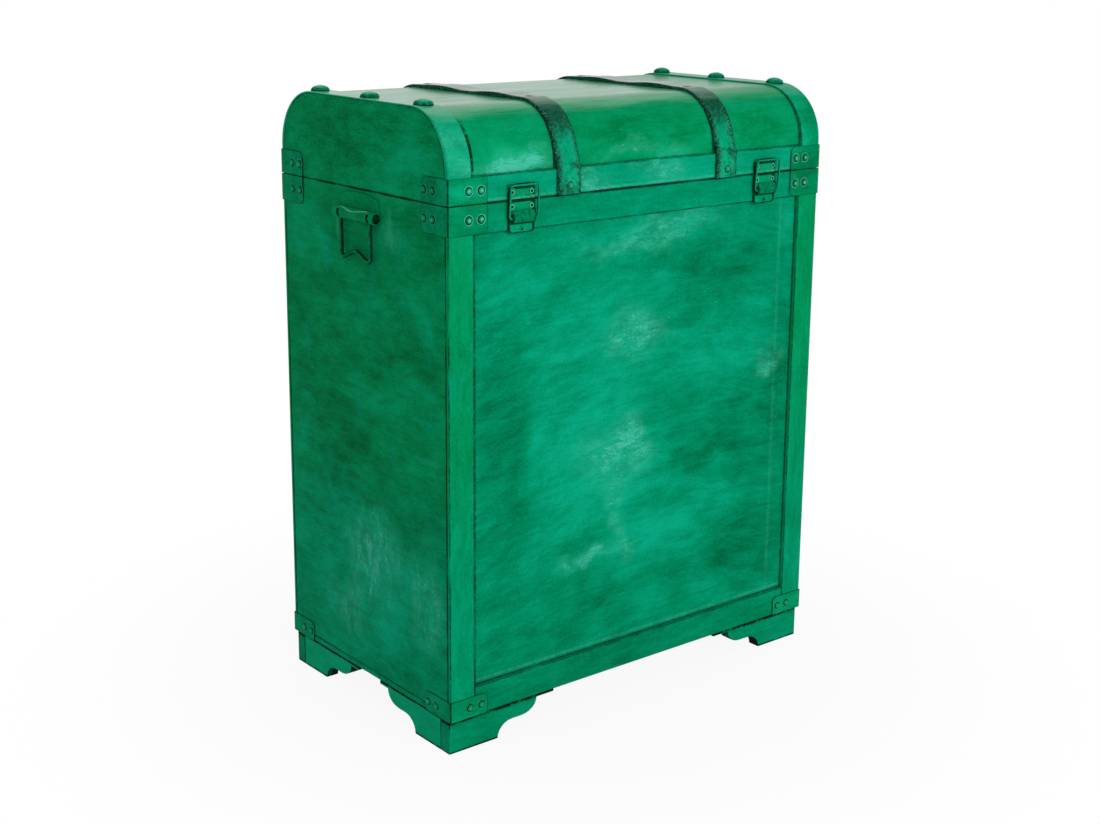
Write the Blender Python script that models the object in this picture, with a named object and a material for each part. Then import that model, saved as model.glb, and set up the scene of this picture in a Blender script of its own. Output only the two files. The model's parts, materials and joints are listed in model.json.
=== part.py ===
"""A painted wine chest: boarded box on bracket feet, rounded lid, straps, draw latches and drop handles.

Metres, +Z up, front towards -Y, origin on the floor under the middle of the chest's box.
"""
import math

import bmesh
import bpy
from mathutils import Matrix, Vector

MM = 0.001

# Overall sizes
WIDTH = 610 * MM
DEPTH = 367 * MM
BODY_HEIGHT = 630 * MM
FOOT_HEIGHT = 44 * MM
LID_HEIGHT = 109 * MM

# Clearances
FIT = 0.3 * MM
LID_GAP = 1.0 * MM
RUNNING = 0.25 * MM

# Boards and the frame laid on them
BOARD = 15 * MM
BOTTOM = 8 * MM
FRAME = 6 * MM
STILE = 36 * MM
TOP_RAIL = 35 * MM
BOTTOM_RAIL = 37.5 * MM
EASE = 1.2 * MM

# Lid
SHOULDER = 72 * MM
SHOULDER_STEPS = 8
SKIN = 5 * MM
BAND = 33 * MM
BAND_TOP = 2 * MM
LID_RAIL = 31.5 * MM
NAIL_RADIUS = 12 * MM
NAIL_HEIGHT = 7 * MM
NAIL_FROM_FACE = 70.5 * MM

# Straps
STRAP = 35 * MM
STRAP_THICK = 3.5 * MM
STRAP_FROM_END = 175 * MM
STRAP_RAMP_ANGLE = math.radians(15)
STRAP_RIVET_RISE = 11 * MM
STRAP_NAIL_IN = 4.5 * MM

# Bracket feet
FOOT_BOARD = 18 * MM
FOOT_INSET = 4.5 * MM
FOOT_SIDE_INSET = 1 * MM
TOE = 74 * MM
COVE_RUN = 22 * MM
STEP_HEIGHT = 20 * MM
FLAT_RUN = 15 * MM
SCROLL_RUN = 24.5 * MM
LUG = 5.5 * MM
LUG_RUN = 27.5 * MM
LUG_RUN_SIDE = 18 * MM
FOOT_STEPS = 6

# Corner brackets and rivets
BRACKET_THICK = 0.9 * MM
BRACKET_FRONT_LEG = 55 * MM
BRACKET_SIDE_LEG = 52 * MM
BRACKET_CORNER = 9 * MM
BRACKET_MARGIN = 1 * MM
BOTTOM_BRACKET = 26 * MM
RIVET_RADIUS = 5 * MM
RIVET_HEIGHT = 2.3 * MM
RIVET_FIRST = 28 * MM
RIVET_PITCH = 17.5 * MM

# Latches, measured out from the front frame and up from the lid joint
LATCH_FROM_END = 104 * MM
PLATE_THICK = 1.5 * MM
PLATE_HALF = 19 * MM
CATCH_TOP = 16 * MM
BASE_DROP = 38.5 * MM
BASE_CORNER = 5 * MM
RIB_RADIUS = 2 * MM
RIB_RISE = 2.8 * MM
HOOK_HALF = 10 * MM
HOOK_SEAT = 15 * MM
HOOK_TIP = 22.5 * MM
HOOK_OUT = 6.2 * MM
HOOK_SHEET = 1.3 * MM
SCREW_RADIUS = 2.9 * MM
SCREW_HEIGHT = 1.1 * MM
SCREW_SPREAD = 14.5 * MM
CATCH_SCREW_RISE = 9.6 * MM
BASE_SCREW_DROP = 7.3 * MM
TAB_SCREW_DROP = 34 * MM
PIVOT_OUT = 4.3 * MM
PIVOT_DROP = 13.5 * MM
PIVOT_RADIUS = 1.3 * MM
EAR_THICK = 1.5 * MM
EAR_HALF = 2.6 * MM
LEVER_HALF = 17 * MM
LEVER_OUT = 8.6 * MM
LEVER_RISE = 1.8 * MM
LEVER_DROP = 27.5 * MM
LEVER_BACK = 2.5 * MM
LEVER_LIFT = 0.3 * MM
LEVER_EASE = 0.9 * MM
LEVER_STEPS = 10
BAIL_PIN_BELOW = 7.4 * MM
BAIL_PIN_OUT = 1.2 * MM
BAIL_PIN_GRIP = 5 * MM
BAIL_WIRE = 1.4 * MM
BAIL_TOP = 18.5 * MM
BAIL_CLEAR = 0.6 * MM
BAIL_BEND = 4 * MM

# Drop handles, measured out from the side and down from the lid joint
HANDLE_TOP_DROP = 4.5 * MM
HANDLE_AXIS_DROP = 32.5 * MM
HANDLE_HALF = 43.5 * MM
HANDLE_CROWN = 9 * MM
BARREL_RADIUS = 6.3 * MM
BARREL_HALF = 45 * MM
LOOP_WIRE = 2.5 * MM
LOOP_HALF = 32.5 * MM
LOOP_DROP = 56 * MM
LOOP_HUMP = 12 * MM
LOOP_CREST = 10.2 * MM
LOOP_BEND = 6 * MM
LOOP_EYE_BEND = 4 * MM
LOOP_GRIP = 8 * MM
LOOP_SLOT_CLEAR = 0.9 * MM

# Hinges on the back
HINGE_FROM_END = 115 * MM
HINGE_HALF = 30 * MM
HINGE_LEAF = 27 * MM
HINGE_AXIS_OUT = 4 * MM
HINGE_RADIUS = 3.2 * MM
HINGE_PIN_RADIUS = 1.35 * MM
HINGE_HEAD_RADIUS = 2.4 * MM
HINGE_HEAD = 1 * MM
LEAF_RELIEF = 3.7 * MM

ROUND_SIDES = 12
CORNER_STEPS = 3

# Planes worked out from the sizes
SIDE_X = WIDTH / 2
INNER_X = SIDE_X - BOARD
FACE_Y = DEPTH / 2
CASE_Y = FACE_Y - FRAME
INNER_Y = CASE_Y - BOARD
JOINT_Z = FOOT_HEIGHT + BODY_HEIGHT
BODY_TOP = JOINT_Z - LID_GAP / 2
LID_BOTTOM = JOINT_Z + LID_GAP / 2
LID_TOP = JOINT_Z + LID_HEIGHT
BOARD_FOOT = FOOT_HEIGHT + BOTTOM + FIT
HINGE_Y = FACE_Y + HINGE_AXIS_OUT
LATCH_X = SIDE_X - LATCH_FROM_END
PLATE_FACE = FIT + PLATE_THICK
HANDLE_OUT = FIT + BARREL_RADIUS
HANDLE_Z = JOINT_Z - HANDLE_AXIS_DROP
LATCH_OUT = max(LEVER_OUT, HOOK_OUT + BAIL_CLEAR + 2 * BAIL_WIRE)
BOX_SHIFT_Y = (LATCH_OUT - HINGE_AXIS_OUT - HINGE_RADIUS) / 2

# Finishes: colour, roughness, metallic
FINISHES = {
    "green_board": ((0.004, 0.300, 0.150, 1), 0.45, 0.0),
    "green_frame": ((0.004, 0.330, 0.170, 1), 0.42, 0.0),
    "green_iron": ((0.004, 0.250, 0.120, 1), 0.40, 0.2),
    "strap_leather": ((0.010, 0.075, 0.045, 1), 0.60, 0.0),
    "hinge_steel": ((0.030, 0.110, 0.070, 1), 0.45, 0.6),
    "pin_steel": ((0.350, 0.340, 0.320, 1), 0.35, 1.0),
}


def clear_scene():
    for thing in list(bpy.data.objects):
        bpy.data.objects.remove(thing, do_unlink=True)


def make_finish(name):
    colour, roughness, metallic = FINISHES[name]
    finish = bpy.data.materials.new(name)
    finish.use_nodes = True
    shader = finish.node_tree.nodes["Principled BSDF"]
    shader.inputs["Base Color"].default_value = colour
    shader.inputs["Roughness"].default_value = roughness
    shader.inputs["Metallic"].default_value = metallic
    return finish


def to_mesh(shape):
    bmesh.ops.recalc_face_normals(shape, faces=shape.faces)
    mesh = bpy.data.meshes.new("shape")
    shape.to_mesh(mesh)
    shape.free()
    return mesh


def block(low, high, ease=0.0):
    """A box between two corners, its edges eased where asked."""
    low, high = Vector(low), Vector(high)
    shape = bmesh.new()
    place_it = Matrix.Translation((low + high) / 2) @ Matrix.Diagonal((high - low).to_4d())
    bmesh.ops.create_cube(shape, size=1, matrix=place_it)
    if ease:
        bmesh.ops.bevel(shape, geom=shape.edges[:], offset=ease, segments=1, affect="EDGES")
    return to_mesh(shape)


def prism(outline, axis, start, end):
    """A flat outline pushed along X (outline in Y, Z) or along Y (outline in X, Z)."""
    order = {"X": (2, 0, 1), "Y": (0, 2, 1)}[axis]
    shape = bmesh.new()
    layers = []
    for level in (start, end):
        layer = []
        for first, second in outline:
            source = (first, second, level)
            layer.append(shape.verts.new([source[i] for i in order]))
        layers.append(layer)
    shape.faces.new(layers[0])
    shape.faces.new(layers[1])
    for i in range(len(outline)):
        j = (i + 1) % len(outline)
        shape.faces.new((layers[0][i], layers[0][j], layers[1][j], layers[1][i]))
    return to_mesh(shape)


def turned(profile, base, direction, sides=ROUND_SIDES):
    """A solid turned about a line: profile pairs are radius and distance along the line, both ends closed."""
    direction = Vector(direction).normalized()
    across = direction.orthogonal().normalized()
    other = direction.cross(across)
    shape = bmesh.new()
    rings = []
    for radius, along in profile:
        centre = Vector(base) + direction * along
        if radius == 0:
            rings.append([shape.verts.new(centre)])
            continue
        ring = []
        for i in range(sides):
            angle = 2 * math.pi * i / sides
            ring.append(shape.verts.new(centre + (across * math.cos(angle) + other * math.sin(angle)) * radius))
        rings.append(ring)
    for near, far in zip(rings, rings[1:]):
        for i in range(sides):
            j = (i + 1) % sides
            corners = [near[i % len(near)], near[j % len(near)], far[j % len(far)], far[i % len(far)]]
            shape.faces.new(list(dict.fromkeys(corners)))
    for ring in (rings[0], rings[-1]):
        if len(ring) > 2:
            shape.faces.new(ring)
    return to_mesh(shape)


def dome(base, direction, radius, height, sides=10, rings=2):
    """A round head that sinks a little into what it sits on."""
    profile = [(radius, -PLATE_THICK / 2)]
    for i in range(rings):
        angle = math.pi / 2 * i / rings
        profile.append((radius * math.cos(angle), height * math.sin(angle)))
    profile.append((0, height))
    return turned(profile, base, direction, sides)


def wire(path, plane_normal, radius, sides=8):
    """A round wire along a path that lies in one plane."""
    normal = Vector(plane_normal).normalized()
    points = [Vector(p) for p in path]
    shape = bmesh.new()
    rings = []
    for i, point in enumerate(points):
        before = points[max(i - 1, 0)]
        after = points[min(i + 1, len(points) - 1)]
        run = (after - before).normalized()
        side = normal.cross(run)
        ring = []
        for k in range(sides):
            angle = 2 * math.pi * k / sides
            ring.append(shape.verts.new(point + (normal * math.cos(angle) + side * math.sin(angle)) * radius))
        rings.append(ring)
    for near, far in zip(rings, rings[1:]):
        for k in range(sides):
            m = (k + 1) % sides
            shape.faces.new((near[k], near[m], far[m], far[k]))
    shape.faces.new(rings[0])
    shape.faces.new(rings[-1])
    return to_mesh(shape)


def combine(base, tools, operation):
    """The base mesh with the tool meshes joined to it or cut from it."""
    holder = bpy.context.scene.collection.objects
    body = bpy.data.objects.new("body", base)
    holder.link(body)
    helpers = []
    for tool in tools:
        helper = bpy.data.objects.new("tool", tool)
        helper.hide_render = True
        helper.display_type = "WIRE"
        holder.link(helper)
        helpers.append(helper)
        step = body.modifiers.new("step", "BOOLEAN")
        step.operation = operation
        step.solver = "EXACT"
        step.object = helper
    graph = bpy.context.evaluated_depsgraph_get()
    graph.update()
    mesh = bpy.data.meshes.new_from_object(body.evaluated_get(graph))
    for thing in (body, *helpers):
        bpy.data.objects.remove(thing, do_unlink=True)
    return mesh


def join(base, *tools):
    return combine(base, tools, "UNION")


def cut(base, *tools):
    return combine(base, tools, "DIFFERENCE")


def arc(centre, radii, start, end, steps):
    """Points on an ellipse's arc, angles in degrees from the first axis towards the second."""
    points = []
    for i in range(steps + 1):
        angle = math.radians(start + (end - start) * i / steps)
        points.append((centre[0] + radii[0] * math.cos(angle), centre[1] + radii[1] * math.sin(angle)))
    return points


class Chest:
    """Places the pieces under a few empties: the whole chest, and the lid on its hinge line."""

    def __init__(self):
        self.finishes = {name: make_finish(name) for name in FINISHES}
        self.frame = self.empty("chest_frame", (0, BOX_SHIFT_Y, 0), None)
        self.lid = self.empty("lid_pivot", (0, HINGE_Y, JOINT_Z), self.frame)

    def empty(self, name, location, parent):
        mark = bpy.data.objects.new(name, None)
        mark.location = location
        mark.parent = parent
        bpy.context.scene.collection.objects.link(mark)
        return mark

    def place(self, name, mesh, finish, location=(0, 0, 0), flip=(1, 1), on_lid=False, smooth=False):
        """One piece; flip mirrors it across the middle, X first and then Y."""
        if smooth:
            mesh.shade_smooth()
            mesh.set_sharp_from_angle(angle=math.radians(40))
        if not mesh.materials:
            mesh.materials.append(self.finishes[finish])
        piece = bpy.data.objects.new(name, mesh)
        bpy.context.scene.collection.objects.link(piece)
        piece.parent = self.lid if on_lid else self.frame
        piece.location = Vector(location) - (self.lid.location if on_lid else Vector())
        piece.scale = (flip[0], flip[1], 1)
        return piece


SIDES = {"left": -1, "right": 1}
FACES = {"front": -1, "back": 1}


def build_boards(chest):
    side = block((INNER_X, -CASE_Y, BOARD_FOOT), (SIDE_X, CASE_Y, BODY_TOP), EASE)
    for name, flip in SIDES.items():
        chest.place(f"side_board_{name}", side, "green_board", flip=(flip, 1))
    reach = INNER_X - FIT
    face = block((-reach, INNER_Y, BOARD_FOOT), (reach, CASE_Y, BODY_TOP), EASE)
    for name, flip in FACES.items():
        chest.place(f"{name}_board", face, "green_board", flip=(1, flip))
    floor = block((-SIDE_X, -CASE_Y, FOOT_HEIGHT), (SIDE_X, CASE_Y, FOOT_HEIGHT + BOTTOM), EASE)
    chest.place("bottom_board", floor, "green_board")


def build_frame(chest):
    """Stiles run the full height, rails lie between them, on the front and on the back."""
    back = CASE_Y + FIT
    stile = block((SIDE_X - STILE, back, FOOT_HEIGHT), (SIDE_X, FACE_Y, BODY_TOP), EASE)
    reach = SIDE_X - STILE - FIT
    top = block((-reach, back, BODY_TOP - TOP_RAIL), (reach, FACE_Y, BODY_TOP), EASE)
    low = block((-reach, back, FOOT_HEIGHT), (reach, FACE_Y, FOOT_HEIGHT + BOTTOM_RAIL), EASE)
    for face, flip_y in FACES.items():
        for side, flip_x in SIDES.items():
            chest.place(f"{face}_stile_{side}", stile, "green_frame", flip=(flip_x, flip_y))
        chest.place(f"{face}_top_rail", top, "green_frame", flip=(1, flip_y))
        chest.place(f"{face}_bottom_rail", low, "green_frame", flip=(1, flip_y))


def foot_outline(start, lug_run):
    """Bracket foot seen square on: distance from its corner, then height; toe, cove, flat, scroll and lug."""
    top = FOOT_HEIGHT - FIT
    flat_start = TOE + COVE_RUN
    flat_end = flat_start + FLAT_RUN
    lug_under = top - LUG
    outline = [(start, top), (start, 0)]
    outline += arc((flat_start, 0), (-COVE_RUN, STEP_HEIGHT), 0, 90, FOOT_STEPS)
    scroll_end = flat_end + SCROLL_RUN
    outline += arc((flat_end, lug_under), (SCROLL_RUN, lug_under - STEP_HEIGHT), -90, 0, FOOT_STEPS)
    outline += [(scroll_end + lug_run, lug_under), (scroll_end + lug_run, top)]
    return outline


def build_feet(chest):
    corner_x = SIDE_X - FOOT_SIDE_INSET
    corner_y = FACE_Y - FOOT_INSET
    face_outline = [(corner_x - run, height) for run, height in foot_outline(0, LUG_RUN)]
    face_board = prism(face_outline, "Y", corner_y - FOOT_BOARD, corner_y)
    side_outline = foot_outline(FOOT_BOARD + FIT, LUG_RUN_SIDE)
    side_outline = [(corner_y - run, height) for run, height in side_outline]
    return_board = prism(side_outline, "X", corner_x - FOOT_BOARD, corner_x)
    for face, flip_y in FACES.items():
        for side, flip_x in SIDES.items():
            chest.place(f"foot_face_{face}_{side}", face_board, "green_frame", flip=(flip_x, flip_y))
            chest.place(f"foot_return_{face}_{side}", return_board, "green_frame", flip=(flip_x, flip_y))


def leg_outline(near, far, low, high, round_low, round_high):
    """One bracket leg: straight at the corner, its free end rounded below, above or both."""
    size = BRACKET_CORNER
    outline = [(near, high), (near, low)]
    if round_low:
        outline += arc((far + size, low + size), (size, size), 270, 180, CORNER_STEPS)
    else:
        outline.append((far, low))
    if round_high:
        outline += arc((far + size, high - size), (size, size), 180, 90, CORNER_STEPS)
    else:
        outline.append((far, high))
    return outline


def corner_bracket(low, high, round_low, round_high):
    """Thin plate bent round the back right corner, with its rivet heads."""
    inner_x, outer_x = SIDE_X + FIT, SIDE_X + FIT + BRACKET_THICK
    inner_y, outer_y = FACE_Y + FIT, FACE_Y + FIT + BRACKET_THICK
    face_leg = leg_outline(outer_x, SIDE_X - BRACKET_FRONT_LEG, low, high, round_low, round_high)
    side_leg = leg_outline(outer_y, FACE_Y - BRACKET_SIDE_LEG, low, high, round_low, round_high)
    plate = join(prism(face_leg, "Y", inner_y, outer_y), prism(side_leg, "X", inner_x, outer_x))
    heads = []
    level = (low + high) / 2
    for step in range(2):
        run = RIVET_FIRST + step * RIVET_PITCH
        heads.append(dome((SIDE_X - run, outer_y, level), (0, 1, 0), RIVET_RADIUS, RIVET_HEIGHT))
        heads.append(dome((outer_x, FACE_Y - run, level), (1, 0, 0), RIVET_RADIUS, RIVET_HEIGHT))
    return join(plate, *heads)


def build_brackets(chest):
    lid_plate = corner_bracket(LID_BOTTOM, LID_BOTTOM + LID_RAIL - BRACKET_MARGIN, False, True)
    top_plate = corner_bracket(BODY_TOP - TOP_RAIL + BRACKET_MARGIN, BODY_TOP, True, False)
    low_plate = corner_bracket(FOOT_HEIGHT, FOOT_HEIGHT + BOTTOM_BRACKET, False, True)
    for face, flip_y in FACES.items():
        for side, flip_x in SIDES.items():
            flip = (flip_x, flip_y)
            place = f"{face}_{side}"
            chest.place(f"top_bracket_{place}", top_plate, "green_iron", flip=flip)
            chest.place(f"bottom_bracket_{place}", low_plate, "green_iron", flip=flip)
            chest.place(f"lid_bracket_{place}", lid_plate, "green_iron", flip=flip, on_lid=True)


def lid_path(inset, top_inset):
    """The lid's section from front joint to back joint, this far inside its faces and its top: Y, then Z."""
    centre_y, centre_z = FACE_Y - SHOULDER, LID_TOP - SHOULDER
    radii = (SHOULDER - inset, SHOULDER - top_inset)
    half = [(FACE_Y - inset, LID_BOTTOM)]
    half += arc((centre_y, centre_z), radii, 0, 90, SHOULDER_STEPS)
    return [(-y, z) for y, z in half] + half[::-1]


def build_lid(chest):
    shell = lid_path(FRAME, BAND_TOP)
    end = prism(shell, "X", INNER_X, SIDE_X)
    skin_reach = INNER_X - FIT
    skin = prism(shell + lid_path(FRAME + SKIN, BAND_TOP + SKIN)[::-1], "X", -skin_reach, skin_reach)
    chest.place("lid_skin", skin, "green_board", on_lid=True, smooth=True)
    under_band = lid_path(FRAME - FIT, BAND_TOP - FIT)
    ring = prism(lid_path(0, 0) + under_band[::-1], "X", SIDE_X - BAND, SIDE_X)
    nails = []
    for step in (-1, 0, 1):
        y = step * (FACE_Y - NAIL_FROM_FACE)
        over = max(abs(y) - (FACE_Y - SHOULDER), 0) / SHOULDER
        lean = math.asin(over) * step
        z = LID_TOP - SHOULDER + SHOULDER * math.cos(lean)
        direction = (0, math.sin(lean), math.cos(lean))
        nails.append(dome((SIDE_X - BAND / 2, y, z), direction, NAIL_RADIUS, NAIL_HEIGHT, sides=12, rings=3))
    band = join(ring, *nails)
    for name, flip in SIDES.items():
        chest.place(f"lid_end_{name}", end, "green_board", flip=(flip, 1), on_lid=True, smooth=True)
        chest.place(f"lid_band_{name}", band, "green_frame", flip=(flip, 1), on_lid=True, smooth=True)
    reach = SIDE_X - BAND - FIT
    rail = block((-reach, CASE_Y + FIT, LID_BOTTOM), (reach, FACE_Y, LID_BOTTOM + LID_RAIL), EASE)
    for name, flip in FACES.items():
        chest.place(f"lid_{name}_rail", rail, "green_frame", flip=(1, flip), on_lid=True)


def strap_half():
    """Half of a strap's inner line from the middle of the lid to its end on the rail: point and outward way."""
    reach_y, reach_z = SHOULDER - FRAME + FIT, SHOULDER - BAND_TOP + FIT
    centre_y, centre_z = FACE_Y - SHOULDER, LID_TOP - SHOULDER
    steps = []
    for i in range(SHOULDER_STEPS + 1):
        angle = math.pi / 2 + (STRAP_RAMP_ANGLE - math.pi / 2) * i / SHOULDER_STEPS
        way = (math.cos(angle), math.sin(angle))
        steps.append(((centre_y + reach_y * way[0], centre_z + reach_z * way[1]), way))
    rail_y = FACE_Y + FIT
    bend = STRAP_RAMP_ANGLE
    steps.append(((rail_y, LID_BOTTOM + LID_RAIL + FIT), (math.cos(bend / 2), math.sin(bend / 2))))
    steps.append(((rail_y, LID_BOTTOM), (1, 0)))
    return steps


def build_straps(chest):
    half = strap_half()
    inner = [(-y, z) for (y, z), _ in reversed(half)] + [point for point, _ in half]
    thick = STRAP_THICK
    outer_half = [(y + a * thick, z + b * thick) for (y, z), (a, b) in half]
    outer = [(-y, z) for y, z in reversed(outer_half)] + outer_half
    centre = SIDE_X - STRAP_FROM_END
    strap = prism(inner + outer[::-1], "X", centre - STRAP / 2, centre + STRAP / 2)
    top = LID_TOP - BAND_TOP + FIT + thick
    nail_y = FACE_Y - SHOULDER - STRAP_NAIL_IN
    heads = []
    for way in FACES.values():
        end_face = (centre, way * (FACE_Y + FIT + thick), LID_BOTTOM + STRAP_RIVET_RISE)
        heads.append(dome(end_face, (0, way, 0), RIVET_RADIUS, RIVET_HEIGHT))
        heads.append(dome((centre, way * nail_y, top), (0, 0, 1), RIVET_RADIUS, RIVET_HEIGHT))
    strap = join(strap, *heads)
    for name, flip in SIDES.items():
        chest.place(f"strap_{name}", strap, "strap_leather", flip=(flip, 1), on_lid=True, smooth=True)


def screw(x, rise):
    """A screw head on a latch plate; rise counts up from the lid joint."""
    return dome((x, -FACE_Y - PLATE_FACE, JOINT_Z + rise), (0, -1, 0), SCREW_RADIUS, SCREW_HEIGHT)


def latch_section(points):
    """Section points given as way out from the front frame and rise from the joint, as Y and Z."""
    return [(-FACE_Y - out, JOINT_Z + rise) for out, rise in points]


def catch_mesh():
    """Plate on the lid rail with a rolled lower rib and a hook that opens upward."""
    foot = LID_GAP
    plate = block(
        (-PLATE_HALF, -FACE_Y - PLATE_FACE, JOINT_Z + foot),
        (PLATE_HALF, -FACE_Y - FIT, JOINT_Z + CATCH_TOP),
    )
    rib_base = (PLATE_FACE - FIT, RIB_RISE + LID_GAP / 2)
    rib = latch_section(arc(rib_base, (RIB_RADIUS, RIB_RADIUS), -90, 90, 6))
    hook = latch_section([
        (PLATE_FACE - FIT, HOOK_SEAT - HOOK_SHEET),
        (HOOK_OUT - HOOK_SHEET, HOOK_SEAT - HOOK_SHEET),
        (HOOK_OUT, HOOK_SEAT),
        (HOOK_OUT, HOOK_TIP),
        (HOOK_OUT - HOOK_SHEET, HOOK_TIP),
        (HOOK_OUT - HOOK_SHEET, HOOK_SEAT),
        (PLATE_FACE - FIT, HOOK_SEAT),
    ])
    plate = join(
        plate,
        prism(rib, "X", -PLATE_HALF + FIT, PLATE_HALF - FIT),
        prism(hook, "X", -HOOK_HALF, HOOK_HALF),
    )
    return join(plate, *[screw(x, CATCH_SCREW_RISE) for x in (-SCREW_SPREAD, SCREW_SPREAD)])


def base_mesh():
    """Plate on the body rail with two ears that carry the lever's pin."""
    size = BASE_CORNER
    low = JOINT_Z - BASE_DROP
    outline = [(PLATE_HALF, JOINT_Z - LID_GAP), (-PLATE_HALF, JOINT_Z - LID_GAP)]
    outline += arc((size - PLATE_HALF, low + size), (size, size), 180, 270, CORNER_STEPS)
    outline += arc((PLATE_HALF - size, low + size), (size, size), 270, 360, CORNER_STEPS)
    plate = prism(outline, "Y", -FACE_Y - PLATE_FACE, -FACE_Y - FIT)
    ear_start = LEVER_HALF + FIT
    ear = latch_section(
        [(PLATE_FACE - FIT, -PIVOT_DROP - EAR_HALF)]
        + arc((PIVOT_OUT, -PIVOT_DROP), (EAR_HALF, EAR_HALF), -90, 90, 6)
        + [(PLATE_FACE - FIT, -PIVOT_DROP + EAR_HALF)]
    )
    ears = [
        prism(ear, "X", -ear_start - EAR_THICK, -ear_start),
        prism(ear, "X", ear_start, ear_start + EAR_THICK),
    ]
    heads = [screw(x, -BASE_SCREW_DROP) for x in (-SCREW_SPREAD, SCREW_SPREAD)]
    heads.append(screw(0, -TAB_SCREW_DROP))
    plate = join(plate, *ears, *heads)
    reach = ear_start + 2 * EAR_THICK
    pivot = (-reach, -FACE_Y - PIVOT_OUT, JOINT_Z - PIVOT_DROP)
    bore = turned([(PIVOT_RADIUS + RUNNING, 0), (PIVOT_RADIUS + RUNNING, 2 * reach)], pivot, (1, 0, 0))
    return cut(plate, bore)


def lever_mesh():
    """Bulging lever about its own pin at the origin, bored across for the bail."""
    rise = LEVER_RISE
    drop = PIVOT_DROP - LEVER_DROP
    front = []
    for i in range(LEVER_STEPS + 1):
        share = i / LEVER_STEPS
        bulge = LEVER_LIFT + (LEVER_OUT - PIVOT_OUT - LEVER_LIFT) * math.sin(math.pi * share)
        front.append((-bulge, rise + (drop - rise) * share))
    back = PIVOT_OUT - LEVER_BACK
    eased = back - LEVER_EASE
    outline = front + [(eased, drop), (back, drop + 2 * LEVER_EASE), (back, 0), (eased, rise)]
    lever = prism(outline, "X", -LEVER_HALF, LEVER_HALF)
    reach = LEVER_HALF + FIT + EAR_THICK
    pin = turned([(PIVOT_RADIUS, 0), (PIVOT_RADIUS, 2 * reach)], (-reach, 0, 0), (1, 0, 0))
    bore_radius = BAIL_WIRE + RUNNING
    bore_base = (-2 * reach, -BAIL_PIN_OUT, -BAIL_PIN_BELOW)
    bore = turned([(bore_radius, 0), (bore_radius, 4 * reach)], bore_base, (1, 0, 0))
    return cut(join(lever, pin), bore)


def rounded_path(corners, radius, steps=4):
    """A line through corners in space, with each inner corner turned on an arc."""
    corners = [Vector(c) for c in corners]
    path = [corners[0]]
    for before, corner, after in zip(corners, corners[1:], corners[2:]):
        back_way = (before - corner).normalized()
        on_way = (after - corner).normalized()
        half = back_way.angle(on_way) / 2
        trim = radius / math.tan(half)
        centre = corner + (back_way + on_way).normalized() * (radius / math.sin(half))
        start, end = corner + back_way * trim - centre, corner + on_way * trim - centre
        for i in range(steps + 1):
            share = i / steps
            path.append(centre + start.slerp(end, share).normalized() * radius)
    path.append(corners[-1])
    return path


def bail_mesh():
    """Wire bail about its pins at the origin: pins run in, bars run up, a bar joins them."""
    pin_out = PIVOT_OUT + BAIL_PIN_OUT
    pin_rise = -PIVOT_DROP - BAIL_PIN_BELOW
    bar_x = PLATE_HALF + BAIL_CLEAR + BAIL_WIRE
    bar_y = -(HOOK_OUT + BAIL_CLEAR + BAIL_WIRE - pin_out)
    bar_z = BAIL_TOP - pin_rise
    pin_x = LEVER_HALF - BAIL_PIN_GRIP
    corners = [(-bar_x, 0, 0), (-bar_x, bar_y, bar_z), (bar_x, bar_y, bar_z), (bar_x, 0, 0)]
    corners = [(-pin_x, 0, 0), *corners, (pin_x, 0, 0)]
    normal = Vector((1, 0, 0)).cross(Vector((0, bar_y, bar_z)))
    return wire(rounded_path(corners, BAIL_BEND), normal, BAIL_WIRE)


def build_latches(chest):
    catch, base, lever, bail = catch_mesh(), base_mesh(), lever_mesh(), bail_mesh()
    pivot_y = -FACE_Y - PIVOT_OUT
    pivot_z = JOINT_Z - PIVOT_DROP
    for name, flip in SIDES.items():
        x = flip * LATCH_X
        chest.place(f"latch_catch_{name}", catch, "green_iron", (x, 0, 0), on_lid=True, smooth=True)
        chest.place(f"latch_base_{name}", base, "green_iron", (x, 0, 0), smooth=True)
        chest.place(f"latch_lever_{name}", lever, "green_iron", (x, pivot_y, pivot_z), smooth=True)
        bail_place = (x, pivot_y - BAIL_PIN_OUT, pivot_z - BAIL_PIN_BELOW)
        chest.place(f"latch_bail_{name}", bail, "green_iron", bail_place, smooth=True)


def handle_plate_mesh():
    """Plate with an arched top and a rolled lower edge, about the loop's line; X points out."""
    face = FIT - HANDLE_OUT
    shoulder = HANDLE_AXIS_DROP - HANDLE_TOP_DROP - HANDLE_CROWN
    outline = [(HANDLE_HALF, -BARREL_RADIUS / 2)]
    outline += arc((0, shoulder), (HANDLE_HALF, HANDLE_CROWN), 0, 180, 12)
    outline += [(-HANDLE_HALF, -BARREL_RADIUS / 2)]
    plate = prism(outline, "X", face, face + PLATE_THICK)
    along = (0, 1, 0)
    barrel = turned([(BARREL_RADIUS, 0), (BARREL_RADIUS, 2 * BARREL_HALF)], (0, -BARREL_HALF, 0), along)
    plate = join(plate, barrel)
    slot_half = LOOP_WIRE + LOOP_SLOT_CLEAR
    over = 2 * BARREL_RADIUS
    slots = [
        block((face + PLATE_THICK, y - slot_half, -over), (over, y + slot_half, over))
        for y in (-LOOP_HALF, LOOP_HALF)
    ]
    bore_radius = LOOP_WIRE + RUNNING
    bore = turned([(bore_radius, 0), (bore_radius, 4 * BARREL_HALF)], (0, -2 * BARREL_HALF, 0), along)
    return cut(plate, *slots, bore)


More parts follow.
